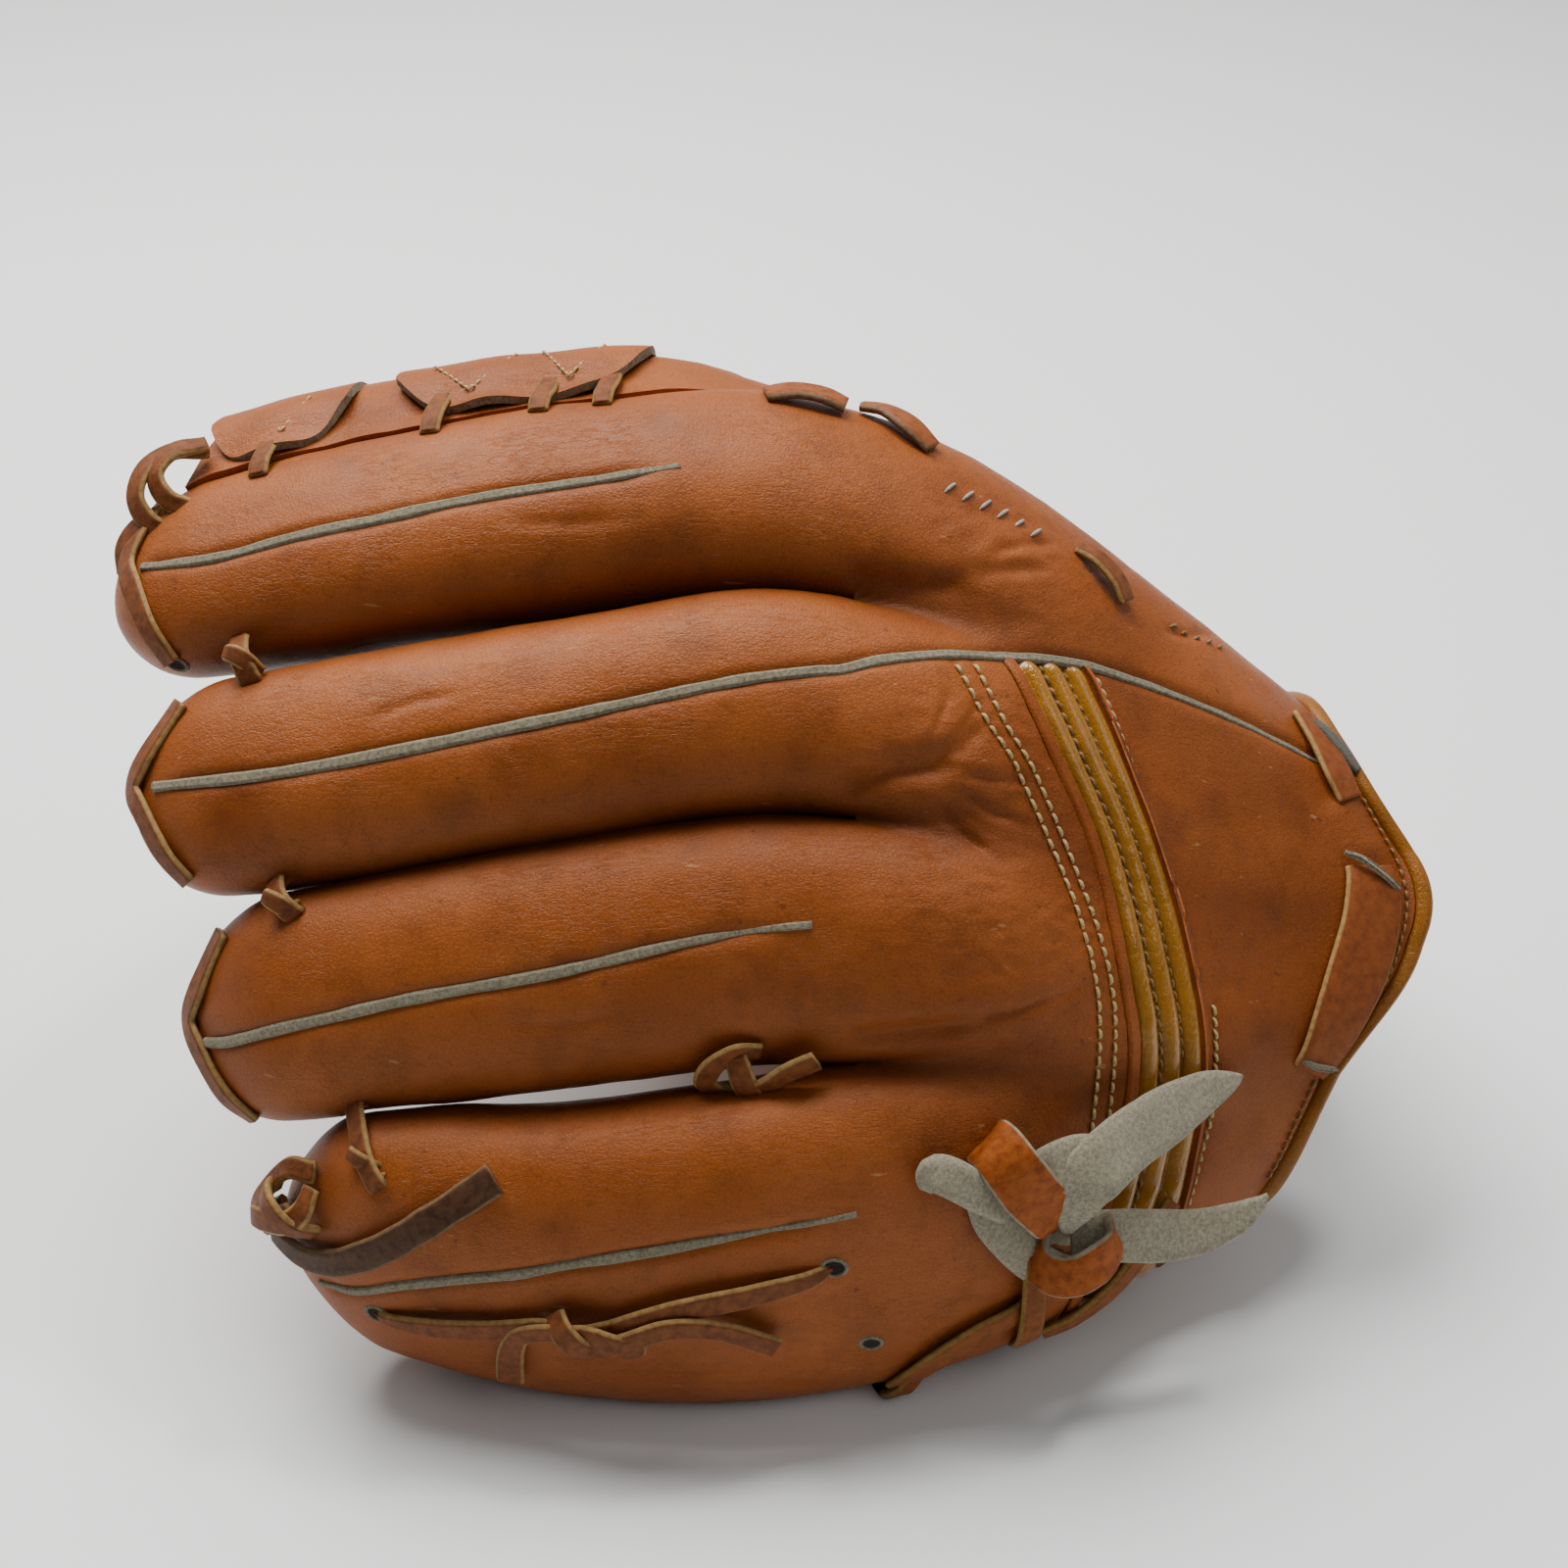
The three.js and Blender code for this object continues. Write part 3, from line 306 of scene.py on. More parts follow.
# The ray out of the hand at each perimeter place: 0 to 6 on the back, 6 to 7 round the
# thumb's edge, 7 to 13 back along the palm, 13 to 14 round the little finger's edge.
def perimeter_rays(x, place):
    sections = [section(name, x) for name in ORDER]
    stack = {key: np.stack([s[key] for s in sections]) for key in ("y", "z", "sin", "cos")}
    picks = np.arange(len(x))
    wrapped = np.mod(place, PERIMETER)
    on_back = wrapped <= LAST
    on_palm = (wrapped >= LAST + 1) & (wrapped <= 2 * LAST + 1)
    around_thumb = (wrapped > LAST) & (wrapped < LAST + 1)
    down = HEEL_DOWN * smoothstep(x, HEEL_START_X, HEEL_END_X)

    def palmward(out_y, out_z):
        y, z = -out_y * (1 - down), -out_z * (1 - down) - down
        size = np.hypot(y, z)
        return y / size, z / size

    spine = np.clip(np.where(on_back, wrapped, 2 * LAST + 1 - wrapped), 0, LAST)
    low = np.minimum(spine.astype(int), LAST - 1)
    share = spine - low

    def mixed(key, sign=1.0):
        return sign * (stack[key][low, picks] * (1 - share) + stack[key][low + 1, picks] * share)

    face_y, face_z = mixed("cos", -1.0), mixed("sin")
    size = np.hypot(face_y, face_z)
    face_y, face_z = face_y / size, face_z / size
    palm_y, palm_z = palmward(face_y, face_z)
    end = np.where(around_thumb, LAST, 0)
    end_out = (-stack["cos"][end, picks], stack["sin"][end, picks])
    end_across = (stack["sin"][end, picks], stack["cos"][end, picks])
    end_palm = palmward(*end_out)
    bend = np.arccos(np.clip(-end_palm[0] * end_out[0] - end_palm[1] * end_out[1], -1, 1))
    sweep = np.pi - bend
    turn = np.where(around_thumb, (wrapped - LAST) * sweep, bend + (wrapped - 2 * LAST - 1) * sweep)
    sign = np.where(around_thumb, 1.0, -1.0)
    cap = [sign * (end_out[k] * np.cos(turn) + end_across[k] * np.sin(turn)) for k in (0, 1)]
    flat = on_back | on_palm
    origin = (
        np.where(flat, mixed("y"), stack["y"][end, picks]),
        np.where(flat, mixed("z"), stack["z"][end, picks]),
    )
    direction = (
        np.where(on_back, face_y, np.where(on_palm, palm_y, cap[0])),
        np.where(on_back, face_z, np.where(on_palm, palm_z, cap[1])),
    )
    return origin, direction


# Points at lengths along rays, none below a least height.
def from_rays(x, origin, direction, length, least_z=FLOOR_Z):
    y = origin[0] + direction[0] * length
    z = np.maximum(origin[1] + direction[1] * length, least_z)
    return np.stack([x, y, z], axis=-1)


# Arrays of x and of turn made flat and of one length, after the shape of their points.
def flattened(x, turn):
    shape = np.broadcast(x, turn).shape
    flat = [np.broadcast_to(values, shape).ravel().astype(float) for values in (x, turn)]
    return shape + (3,), *flat


# Skin points of the hand for arrays of x and perimeter place.
def hand_skin(x, place):
    shape, x, place = flattened(x, place)
    origin, direction = perimeter_rays(x, place)
    length = np.maximum(reach(hand_field(x), origin, direction), LEAST_HOLLOW / 2 + BACK_WALL)
    return from_rays(x, origin, direction, length).reshape(shape)


# Points on the inner face of a wall, which is one number or one for each point.
def hand_lining(x, place, wall):
    shape, x, place = flattened(x, place)
    origin, direction = perimeter_rays(x, place)
    length = np.maximum(reach(hand_field(x), origin, direction, -wall), LEAST_HOLLOW / 2)
    return from_rays(x, origin, direction, length, FLOOR_Z + LEAST_WALL).reshape(shape)


# The ray out of a finger's centre at each angle, with the finger's section.
def stall_rays(name, x, angle, inset=0.0):
    s = section(name, x, inset)
    turn = np.radians(angle)
    direction = (
        -s["cos"] * np.cos(turn) + s["sin"] * np.sin(turn),
        s["sin"] * np.cos(turn) + s["cos"] * np.sin(turn),
    )
    return s, (s["y"], s["z"]), direction


# Skin points of a finger for arrays of x and angle (0 on its back, 90 towards the thumb).
def stall_skin(name, x, angle):
    shape, x, angle = flattened(x, angle)
    _, origin, direction = stall_rays(name, x, angle)
    length = reach(stall_field(name, x), origin, direction)
    return from_rays(x, origin, direction, length).reshape(shape)


# Points on the inner face of a finger's wall.
def stall_lining(name, x, angle):
    shape, x, angle = flattened(x, angle)
    s, origin, direction = stall_rays(name, x, angle, STALL_WALL)
    turn = np.radians(angle)
    wide, thick = np.abs(np.sin(turn)) / s["wide"], np.abs(np.cos(turn)) / s["thick"]
    oval = (wide**SQUARENESS + thick**SQUARENESS) ** (-1 / SQUARENESS)
    skin = reach(stall_field(name, x), origin, direction)
    length = np.minimum(oval, skin - LEAST_WALL)
    return from_rays(x, origin, direction, length, FLOOR_Z + LEAST_WALL).reshape(shape)


# Smooth noise at points, between -1 and 1, from a fixed lattice of numbers. Each seed reads
# the lattice from another place.
LATTICE_SIZE = 32
LATTICE = np.random.default_rng(11).uniform(-1, 1, (LATTICE_SIZE, LATTICE_SIZE, LATTICE_SIZE))
LATTICE_START = 100
SEED_SHIFT = 7.31


def noise(points, size, seed=0):
    scaled = points / size + seed * SEED_SHIFT + LATTICE_START
    cell = np.floor(scaled).astype(int)
    t = scaled - cell
    t = t * t * t * (t * (t * 6 - 15) + 10)
    total = 0
    for dx, dy, dz in itertools.product((0, 1), repeat=3):
        x, y, z = [(cell[..., k] + shift) % LATTICE_SIZE for k, shift in enumerate((dx, dy, dz))]
        weight = np.abs(1 - dx - t[..., 0]) * np.abs(1 - dy - t[..., 1]) * np.abs(1 - dz - t[..., 2])
        total = total + LATTICE[x, y, z] * weight
    return total


# Distance from points to a polyline, and how far along it the nearest point is, from 0 to 1.
def line_distance(points, line):
    best = np.full(points.shape[:-1], 1e9)
    where = np.zeros(points.shape[:-1])
    count = len(line) - 1
    for i in range(count):
        span = line[i + 1] - line[i]
        t = np.clip(((points - line[i]) @ span) / (span @ span), 0, 1)
        distance = np.linalg.norm(points - line[i] - t[..., None] * span, axis=-1)
        nearer = distance < best
        best = np.where(nearer, distance, best)
        where = np.where(nearer, (i + t) / count, where)
    return best, where


# Welts, from the tip to their end. Columns: x, angle round the finger, width.
WELTS = {
    "index": [
        [-141, -8, 3.0],
        [-134, -16, 3.6],
        [-105, -20, 4],
        [-50, -20, 4],
        [-35, -20, 3.4],
        [-20, -19, 0.6],
    ],
    "middle": [
        [-134, -3, 3.4],
        [-120, -4, 4],
        [-50, -4, 4],
        [0, 4, 4],
        [15, 12, 4],
    ],
    "ring": [
        [-123, -26, 3.4],
        [-112, -12, 4],
        [-90, -3, 4],
        [-50, 0, 4],
        [-20, 7, 3.6],
        [8, 13, 0.6],
    ],
    "pinky": [
        [-100, -40, 3.2],
        [-82, -2, 4],
        [-50, 30, 4],
        [-20, 41, 3.8],
        [17, 43, 0.6],
    ],
}


WELT_STEPS = 60
HAND_WELT_END_X = 128


def welt_x(name):
    rows = WELTS[name]
    return np.linspace(rows[0][0], rows[-1][0], WELT_STEPS)


def welt_line(name):
    x = welt_x(name)
    line = stall_skin(name, x, read_column(WELTS[name], 1, x))
    if name == "middle":
        hand_x = np.linspace(KNUCKLE_X + 2, HAND_WELT_END_X, 50)
        line = np.concatenate([line, hand_skin(hand_x, read_column(WELT_TABLE, 1, hand_x))])
    return line


# Creases and hollows in the leather. Columns: depth, half width, the finger or "hand", then
# the x and the angle or perimeter place of each point that the crease runs through.
CREASES = [
    [2.6, 3.4, "hand", [15, 1.64], [22, 1.7], [30, 1.75], [37, 1.76]],
    [1.2, 2.2, "hand", [30, 1.76], [37, 1.86], [43, 2.02]],
    [0.4, 1.1, "hand", [33, 1.82], [39, 2.0], [43, 2.14]],
    [0.35, 1.0, "hand", [30, 1.84], [33, 1.98], [35, 2.1]],
    [0.8, 1.2, "hand", [36, 1.74], [45, 1.76], [54, 1.8]],
    [0.7, 1.1, "hand", [35, 1.68], [44, 1.62], [53, 1.6]],
    [0.9, 1.3, "hand", [30, 1.62], [38, 1.5], [45, 1.42]],
    [0.5, 1.0, "hand", [26, 1.58], [31, 1.4], [34, 1.25]],
    [1.8, 2.6, "hand", [16, 2.52], [30, 2.54], [42, 2.6]],
    [0.8, 1.6, "hand", [38, 2.62], [50, 2.72], [60, 2.84]],
    [0.6, 1.2, "hand", [44, 2.74], [54, 2.9], [62, 3.04]],
    [2.0, 2.6, "hand", [16, 0.74], [28, 0.76], [42, 0.8]],
    [0.8, 1.5, "hand", [38, 0.8], [50, 0.84], [60, 0.92]],
    [0.5, 1.1, "hand", [40, 0.72], [50, 0.7], [58, 0.66]],
    [0.7, 1.4, "hand", [84, 2.9], [92, 3.05], [100, 3.3]],
    [0.6, 1.3, "hand", [66, 2.95], [74, 3.1], [80, 3.35]],
    [0.5, 1.2, "hand", [104, 1.9], [110, 1.5], [112, 1.1]],
    [0.5, 1.3, "index", [-60, -38], [-46, -44], [-30, -46]],
    [0.45, 1.2, "middle", [-88, 18], [-76, 24], [-66, 22]],
    [0.5, 1.4, "ring", [-60, -26], [-44, -30], [-30, -28]],
    [0.6, 1.6, "pinky", [-40, -40], [-20, -46], [4, -44]],
    [0.5, 1.3, "pinky", [-6, -52], [4, -58], [12, -60]],
    [-1.6, 7.0, "hand", [125, 2.44], [129, 2.26], [131.6, 2.0], [132, 1.7]],
]


# The plain skin point at one address.
def address_point(name, x, turn):
    if name == "hand":
        return hand_skin(np.array([float(x)]), np.array([float(turn)]))[0]
    return stall_skin(name, np.array([float(x)]), np.array([float(turn)]))[0]


# Rows of stitches on the hand. Columns: pitch, length, then x and perimeter place of points.
STITCH_ROWS = {
    "hand_left": [3.0, 2.4, [36, 2.21], [42, 2.02], [50, 1.8], [60, 1.36], [65, 1.0], [66.3, 0.78],
                  [66, 0.45], [64.5, 0.1], [61, -0.25]],
    "hand_right": [3.0, 2.3, [40, 2.24], [46, 2.03], [54, 1.8], [63.4, 1.36], [68.4, 1.0], [69.8, 0.78],
                   [69.6, 0.45], [68, 0.1], [64.5, -0.25]],
    "wrist_upper": [2.6, 2.3, [67.6, 2.42], [72.5, 2.2], [77, 1.95]],
    "wrist_lower": [2.6, 2.3, [93, 0.85], [93.6, 0.5], [93, 0.15], [89, -0.2]],
}
STITCH_GROOVE = 0.35
STITCH_GROOVE_WIDTH = 1.1

# A crease that starts at one of these x comes out of the valley between two fingers.
VALLEY_STARTS = (15, 16)

SEAM_LINES = {name: welt_line(name)[::3] for name in WELTS}
STITCH_LINES = [np.array([address_point("hand", *pair) for pair in row[2:]]) for row in STITCH_ROWS.values()]
CREASE_LINES = [
    (depth, width, pairs[0][0] in VALLEY_STARTS, np.array([address_point(name, *pair) for pair in pairs]))
    for depth, width, name, *pairs in CREASES
]

# Where the wrinkled zones are. Columns: finger or "hand", x, angle or place, reach.
WRINKLED = [
    ["hand", 38, 1.75, 26],
    ["hand", 52, 1.1, 30],
    ["hand", 50, 2.8, 22],
    ["hand", 34, 0.6, 24],
    ["pinky", 0, -50, 30],
]
WRINKLE_CENTRES = [(address_point(*address), extent) for *address, extent in WRINKLED]
FOLD_STRETCH = np.array([0.34, 1.0, 1.0])
FOLD_HEIGHT = 0.2
SEAM_DEPTH = 1.1
SEAM_WIDTH = 1.7


# Fine folds that run along the fingers, in the zones where the leather flexes.
def folds(flat):
    zone = np.zeros(len(flat))
    for centre, extent in WRINKLE_CENTRES:
        zone = np.maximum(zone, np.exp(-((np.linalg.norm(flat - centre, axis=1) / extent) ** 2)))
    bent = flat * FOLD_STRETCH + noise(flat, 11, 8)[:, None] * 1.6
    ridges = 1 - 2.4 * np.abs(noise(bent, 2.7, 9))
    return FOLD_HEIGHT * zone * np.minimum(ridges, 0.6)


# The leather's broad unevenness. Columns: height, size, seed.
UNEVEN = [[0.65, 34, 1], [0.24, 15, 2], [0.1, 6, 3]]
SEAM_REACH = 12
STITCH_REACH = 3
SEAM_START = 0.04
SEAM_END = {"middle": 0.02}
SEAM_USUAL_END = 0.12


# Presses a groove along a line into the heights of the points that lie near it.
def press(heights, flat, line, margin, depth, width, fade):
    near = np.all((flat > line.min(0) - margin) & (flat < line.max(0) + margin), axis=1)
    distance, along = line_distance(flat[near], line)
    heights[near] -= fade(along) * depth * np.exp(-((distance / width) ** 2))


# How far the leather stands out from its plain shape at each point.
def relief(points):
    flat = points.reshape(-1, 3)
    total = 0
    for height, size, seed in UNEVEN:
        total = total + height * noise(flat, size, seed)
    total = total + folds(flat)
    for name, line in SEAM_LINES.items():
        end = SEAM_END.get(name, SEAM_USUAL_END)

        def fade(along):
            return smoothstep(along, 0, SEAM_START) * smoothstep(1 - along, 0, end)

        press(total, flat, line, SEAM_REACH, SEAM_DEPTH, SEAM_WIDTH, fade)
    for depth, width, from_valley, line in CREASE_LINES:

        def fade(along):
            start = smoothstep(along, -1, -0.9) if from_valley else smoothstep(along, 0, 0.25)
            return 0.15 + 0.85 * (start * smoothstep(1 - along, 0, 0.35))

        press(total, flat, line, 3 * width, depth, width, fade)
    for line in STITCH_LINES:
        press(total, flat, line, STITCH_REACH, STITCH_GROOVE, STITCH_GROOVE_WIDTH, lambda along: 1.0)
    return total.reshape(points.shape[:-1])


def unit(v):
    return v / np.maximum(np.linalg.norm(v, axis=-1, keepdims=True), 1e-9)


# Normals of a grid of points, from the differences to its neighbours.
def grid_normals(points, closed=False):
    along = np.gradient(points, axis=0)
    if closed:
        across = np.roll(points, -1, axis=1) - np.roll(points, 1, axis=1)
    else:
        across = np.gradient(points, axis=1)
    return unit(np.cross(along, across))


# Turns a whole grid's normals to face away from a point inside it.
def faced(normals, points, inside):
    facing = np.sum(normals * (points - inside), axis=-1).sum()
    return normals if facing > 0 else -normals


# The leather's points and normals for a grid of plain skin points with one spare row all
# round, or at its ends only when it is closed.
def leather_grid(plain, inside, closed=False, extra=0.0):
    normals = faced(grid_normals(plain, closed), plain, inside)
    raised = plain + normals * (relief(plain) + extra)[..., None]
    raised[..., 2] = np.maximum(raised[..., 2], FLOOR_Z)
    final = faced(grid_normals(raised, closed), raised, inside)
    if closed:
        return raised[1:-1], final[1:-1]
    return raised[1:-1, 1:-1], final[1:-1, 1:-1]


# A mesh object from points in drawing millimetres. `normals` gives each face corner's normal.
def add_object(name, points, faces, material, normals=None, attributes=None):
    mesh = bpy.data.meshes.new(name)
    world = (np.asarray(points) + FRAME_SHIFT) * MM
    mesh.from_pydata(world.tolist(), [], [tuple(face) for face in faces])
    mesh.polygons.foreach_set("use_smooth", [True] * len(mesh.polygons))
    for key, values in (attributes or {}).items():
        data = mesh.attributes.new(key, "FLOAT", "POINT").data
        data.foreach_set("value", np.asarray(values, float).ravel())
    mesh.materials.append(material)
    mesh.update()
    if normals is not None:
        mesh.normals_split_custom_set(normals.tolist())
    obj = bpy.data.objects.new(name, mesh)
    bpy.context.scene.collection.objects.link(obj)
    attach(obj, "root")
    return obj


# Hides, where a piece has one, the solid that it replaces, and returns the piece.
def declare(piece, node=None):
    if node:
        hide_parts(node)
    return piece


# Faces between neighbouring rows and columns of a grid of points.
def quads(rows, columns, start=0, closed=False):
    count = columns if closed else columns - 1
    i, j = np.meshgrid(np.arange(rows - 1), np.arange(count), indexing="ij")
    following = (j + 1) % columns
    corners = [i * columns + j, (i + 1) * columns + j, (i + 1) * columns + following, i * columns + following]
    return np.stack([c.ravel() for c in corners], axis=1) + start


# Faces between a fine border loop and a coarse one that has one point for each stride.
def rim_faces(fine, coarse, stride, closed):
    faces = []
    spans = len(coarse) if closed else len(coarse) - 1
    for i in range(spans):
        near, far = coarse[i], coarse[(i + 1) % len(coarse)]
        for k in range(stride):
            a, b = fine[(i * stride + k) % len(fine)], fine[(i * stride + k + 1) % len(fine)]
            faces.append((a, b, near if k < stride // 2 else far))
            if k == stride // 2 - 1:
                faces.append((b, far, near))
    return faces


# The faces turned so that the middle one faces its normal's way.
def oriented(points, faces, normals):
    sample = faces[len(faces) // 2]
    a, b, c = points[sample[0]], points[sample[1]], points[sample[2]]
    return faces if np.dot(np.cross(b - a, c - a), normals[sample[0]]) > 0 else faces[:, ::-1]


# A closed leather piece: its fine outer grid, its coarse lining, and the rim between them.
def leather_piece(
    name, outer, outer_normals, inner, material, closed=False, attributes=None, rim_material=None
):
    rows, columns = outer.shape[:2]
    inner_rows, inner_columns = inner.shape[:2]
    points = np.concatenate([outer.reshape(-1, 3), inner.reshape(-1, 3)])
    start = rows * columns
    inner_normals = grid_normals(inner, closed)
    gap = outer[::LINING_STRIDE, ::LINING_STRIDE] - inner
    inner_normals = -inner_normals if np.sum(inner_normals * gap) > 0 else inner_normals
    normals = np.concatenate([outer_normals.reshape(-1, 3), inner_normals.reshape(-1, 3)])
    skin = oriented(points, quads(rows, columns, 0, closed), normals)
    lining = oriented(points, quads(inner_rows, inner_columns, start, closed), normals)
    if closed:
        fine = np.arange(columns) + (rows - 1) * columns
        coarse = start + np.arange(inner_columns) + (inner_rows - 1) * inner_columns
    else:
        fine = border_loop(rows, columns, 0)
        coarse = border_loop(inner_rows, inner_columns, start)
    rim = rim_faces(list(fine), list(coarse), LINING_STRIDE, True)
    edges = set()
    for face in skin:
        edges.update(zip(face, np.roll(face, -1)))
    if (rim[0][0], rim[0][1]) in edges:
        rim = [face[::-1] for face in rim]
    faces = [tuple(f) for f in skin] + [tuple(f) for f in lining] + rim
    corner_normals = [normals[skin.ravel()], normals[lining.ravel()]]
    rim_array = np.array(rim)
    across = np.cross(
        points[rim_array[:, 1]] - points[rim_array[:, 0]],
        points[rim_array[:, 2]] - points[rim_array[:, 0]],
    )
    corner_normals.append(np.repeat(unit(across), 3, axis=0))
    if closed:
        tip_faces, tip_normals = tip_fan(points, normals, columns, start, inner_columns)
        points = np.concatenate([points, tip_faces["points"]])
        faces += tip_faces["faces"]
        corner_normals.append(tip_normals)
    values = {}
    for key, value in (attributes or {}).items():
        values[key] = np.concatenate([value.ravel(), np.zeros(len(points) - value.size)])
    piece = add_object(name, points, faces, material, np.concatenate(corner_normals), values)
    if rim_material:
        piece.data.materials.append(rim_material)
        first = len(skin) + len(lining)
        for polygon in piece.data.polygons[first : first + len(rim)]:
            polygon.material_index = 1
    return piece


# The points round the edge of a grid, in order.
def border_loop(rows, columns, start):
    index = np.arange(rows * columns).reshape(rows, columns) + start
    return np.concatenate([index[0, :-1], index[:-1, -1], index[-1, :0:-1], index[:0:-1, 0]])


# Closes the tip of a finger's skin and lining with a fan each.
def tip_fan(points, normals, columns, start, inner_columns):
    skin_tip = points[:columns].mean(0)
    lining_tip = points[start : start + inner_columns].mean(0)
    first = len(points)
    faces, corners = [], []
    ring_normals = normals[:columns]
    forward = np.array([-1.0, 0, 0])
    sense = np.cross(points[0] - skin_tip, points[1] - skin_tip)[0] < 0
    for k in range(columns):
        a, b = k, (k + 1) % columns
        pair = (a, b) if sense else (b, a)
        faces.append((first, *pair))
        corners += [forward, ring_normals[pair[0]], ring_normals[pair[1]]]
    for k in range(inner_columns):
        a, b = start + k, start + (k + 1) % inner_columns
        pair = (b, a) if sense else (a, b)
        faces.append((first + 1, *pair))
        corners += [-forward, -forward, -forward]
    return {"points": np.array([skin_tip, lining_tip]), "faces": faces}, np.array(corners)


# The nearest whole number of the lining's steps.
def strided(count):
    return max(int(round(count / LINING_STRIDE)), 2) * LINING_STRIDE


VALLEY_REACH = 5.0


# How deep a point lies in a valley between two fingers, from 0 to 1.
def valley_depth(points):
    flat = points.reshape(-1, 3)
    x = flat[:, 0]
    distances = []
    for name in ORDER:
        distances.append(oval_distance(section(name, x), flat[:, 1], flat[:, 2]))
    nearest = np.sort(np.stack(distances), axis=0)
    return np.exp(-np.maximum(nearest[1], 0) / VALLEY_REACH).reshape(points.shape[:-1])


# Points round each finger, steps along its rounded tip, and the turns of the tip's first
# ring and of the spare ring before it.
STALL_COLUMNS = {"pinky": 168, "ring": 132, "middle": 132, "index": 132, "thumb": 96}
TIP_STEPS = 24
FIRST_TIP_TURN = 4
SPARE_TIP_TURN = 1.5
THUMB_COARSENESS = 1.5


# A finger's leather, closed at its tip and open at the knuckles.
def add_stall(name, material):
    columns = STALL_COLUMNS[name] // 1
    tip = SAUSAGES[name][0][0]
    length = TIP_LENGTH[name]
    turns = np.radians(np.linspace(FIRST_TIP_TURN, 90, TIP_STEPS, endpoint=False))
    shaft = tip + length
    coarse = THUMB_COARSENESS if name == "thumb" else 1.0
    steps = strided((KNUCKLE_X - shaft) / (SPACING * coarse) + TIP_STEPS) - TIP_STEPS
    stations = np.concatenate([tip + length * (1 - np.cos(turns)), np.linspace(shaft, KNUCKLE_X, steps + 1)])
    spare = [tip + length * (1 - math.cos(math.radians(SPARE_TIP_TURN))), KNUCKLE_X + SPACING]
    x = np.concatenate([[spare[0]], stations, [spare[1]]])
    angles = np.arange(columns) * 360 / columns
    plain = stall_skin(name, x[:, None], angles[None, :])
    s = section(name, x)
    inside = np.stack([x, s["y"], s["z"]], axis=-1)[:, None, :]
    outer, normals = leather_grid(plain, inside, True)
    # The lining starts one wall inside the tip and ends level with the skin.
    lined = stations[::LINING_STRIDE]
    inner_x = lined + STALL_WALL * (1 - (lined - tip) / (KNUCKLE_X - tip))
    inner = stall_lining(name, inner_x[:, None], angles[None, ::LINING_STRIDE])
    valley = {"valley": valley_depth(outer)}
    piece = leather_piece(name + "_leather", outer, normals, inner, material, True, valley)
    return declare(piece, name + "_stall")


# Grid of x and place for a panel between two x edges and two places, with a spare row and
# column on each side. Each edge is a function of the share across, or of x.
def panel_grid(edges, rows, columns):
    share = (np.arange(columns + 3) - 1) / columns
    along = (np.arange(rows + 3) - 1) / rows
    start, end = edges["start_x"](share), edges["end_x"](share)
    x = start[None, :] + (end - start)[None, :] * along[:, None]
    low, high = edges["low_place"](x), edges["high_place"](x)
    return x, low + (high - low) * share[None, :]


# A panel of the hand's leather. Its size is in millimetres along x and round the hand.
def add_panel(name, edges, size, wall, material, spacing=1.0, extra=None):
    rows = strided(size[0] / (SPACING * spacing))
    columns = strided(size[1] / (SPACING * spacing))
    x, place = panel_grid(edges, rows, columns)
    plain = hand_skin(x, place)
    inside = hand_lining(x, place, wall * 1.5)
    lift = extra(x, place) if extra else 0.0
    outer, normals = leather_grid(plain, inside, False, lift)
    keep = (slice(1, -1, LINING_STRIDE), slice(1, -1, LINING_STRIDE))
    inner = hand_lining(x[keep], place[keep], wall)
    attributes = {"valley": valley_depth(outer)}
    # How low the band lies in its grooves; the band's colour darkens with it as painted shade.
    if extra:
        attributes["low"] = np.clip(-lift[1:-1, 1:-1] / 2, 0, 1)
    piece = leather_piece(name + "_leather", outer, normals, inner, material, False, attributes)
    return declare(piece, name)


def constant(value):
    return lambda x: np.zeros_like(x) + value


def band_x(column, shift):
    return lambda share: read_column(BAND_TABLE, column, share) + shift


def wrist_x(place):
    return read_column(WRIST_TABLE, 1, place)


def wrist_edge(low, high):
    return lambda share: wrist_x(low + (high - low) * share)


def welt_place(shift):
    return lambda x: read_column(WELT_TABLE, 1, x) + shift


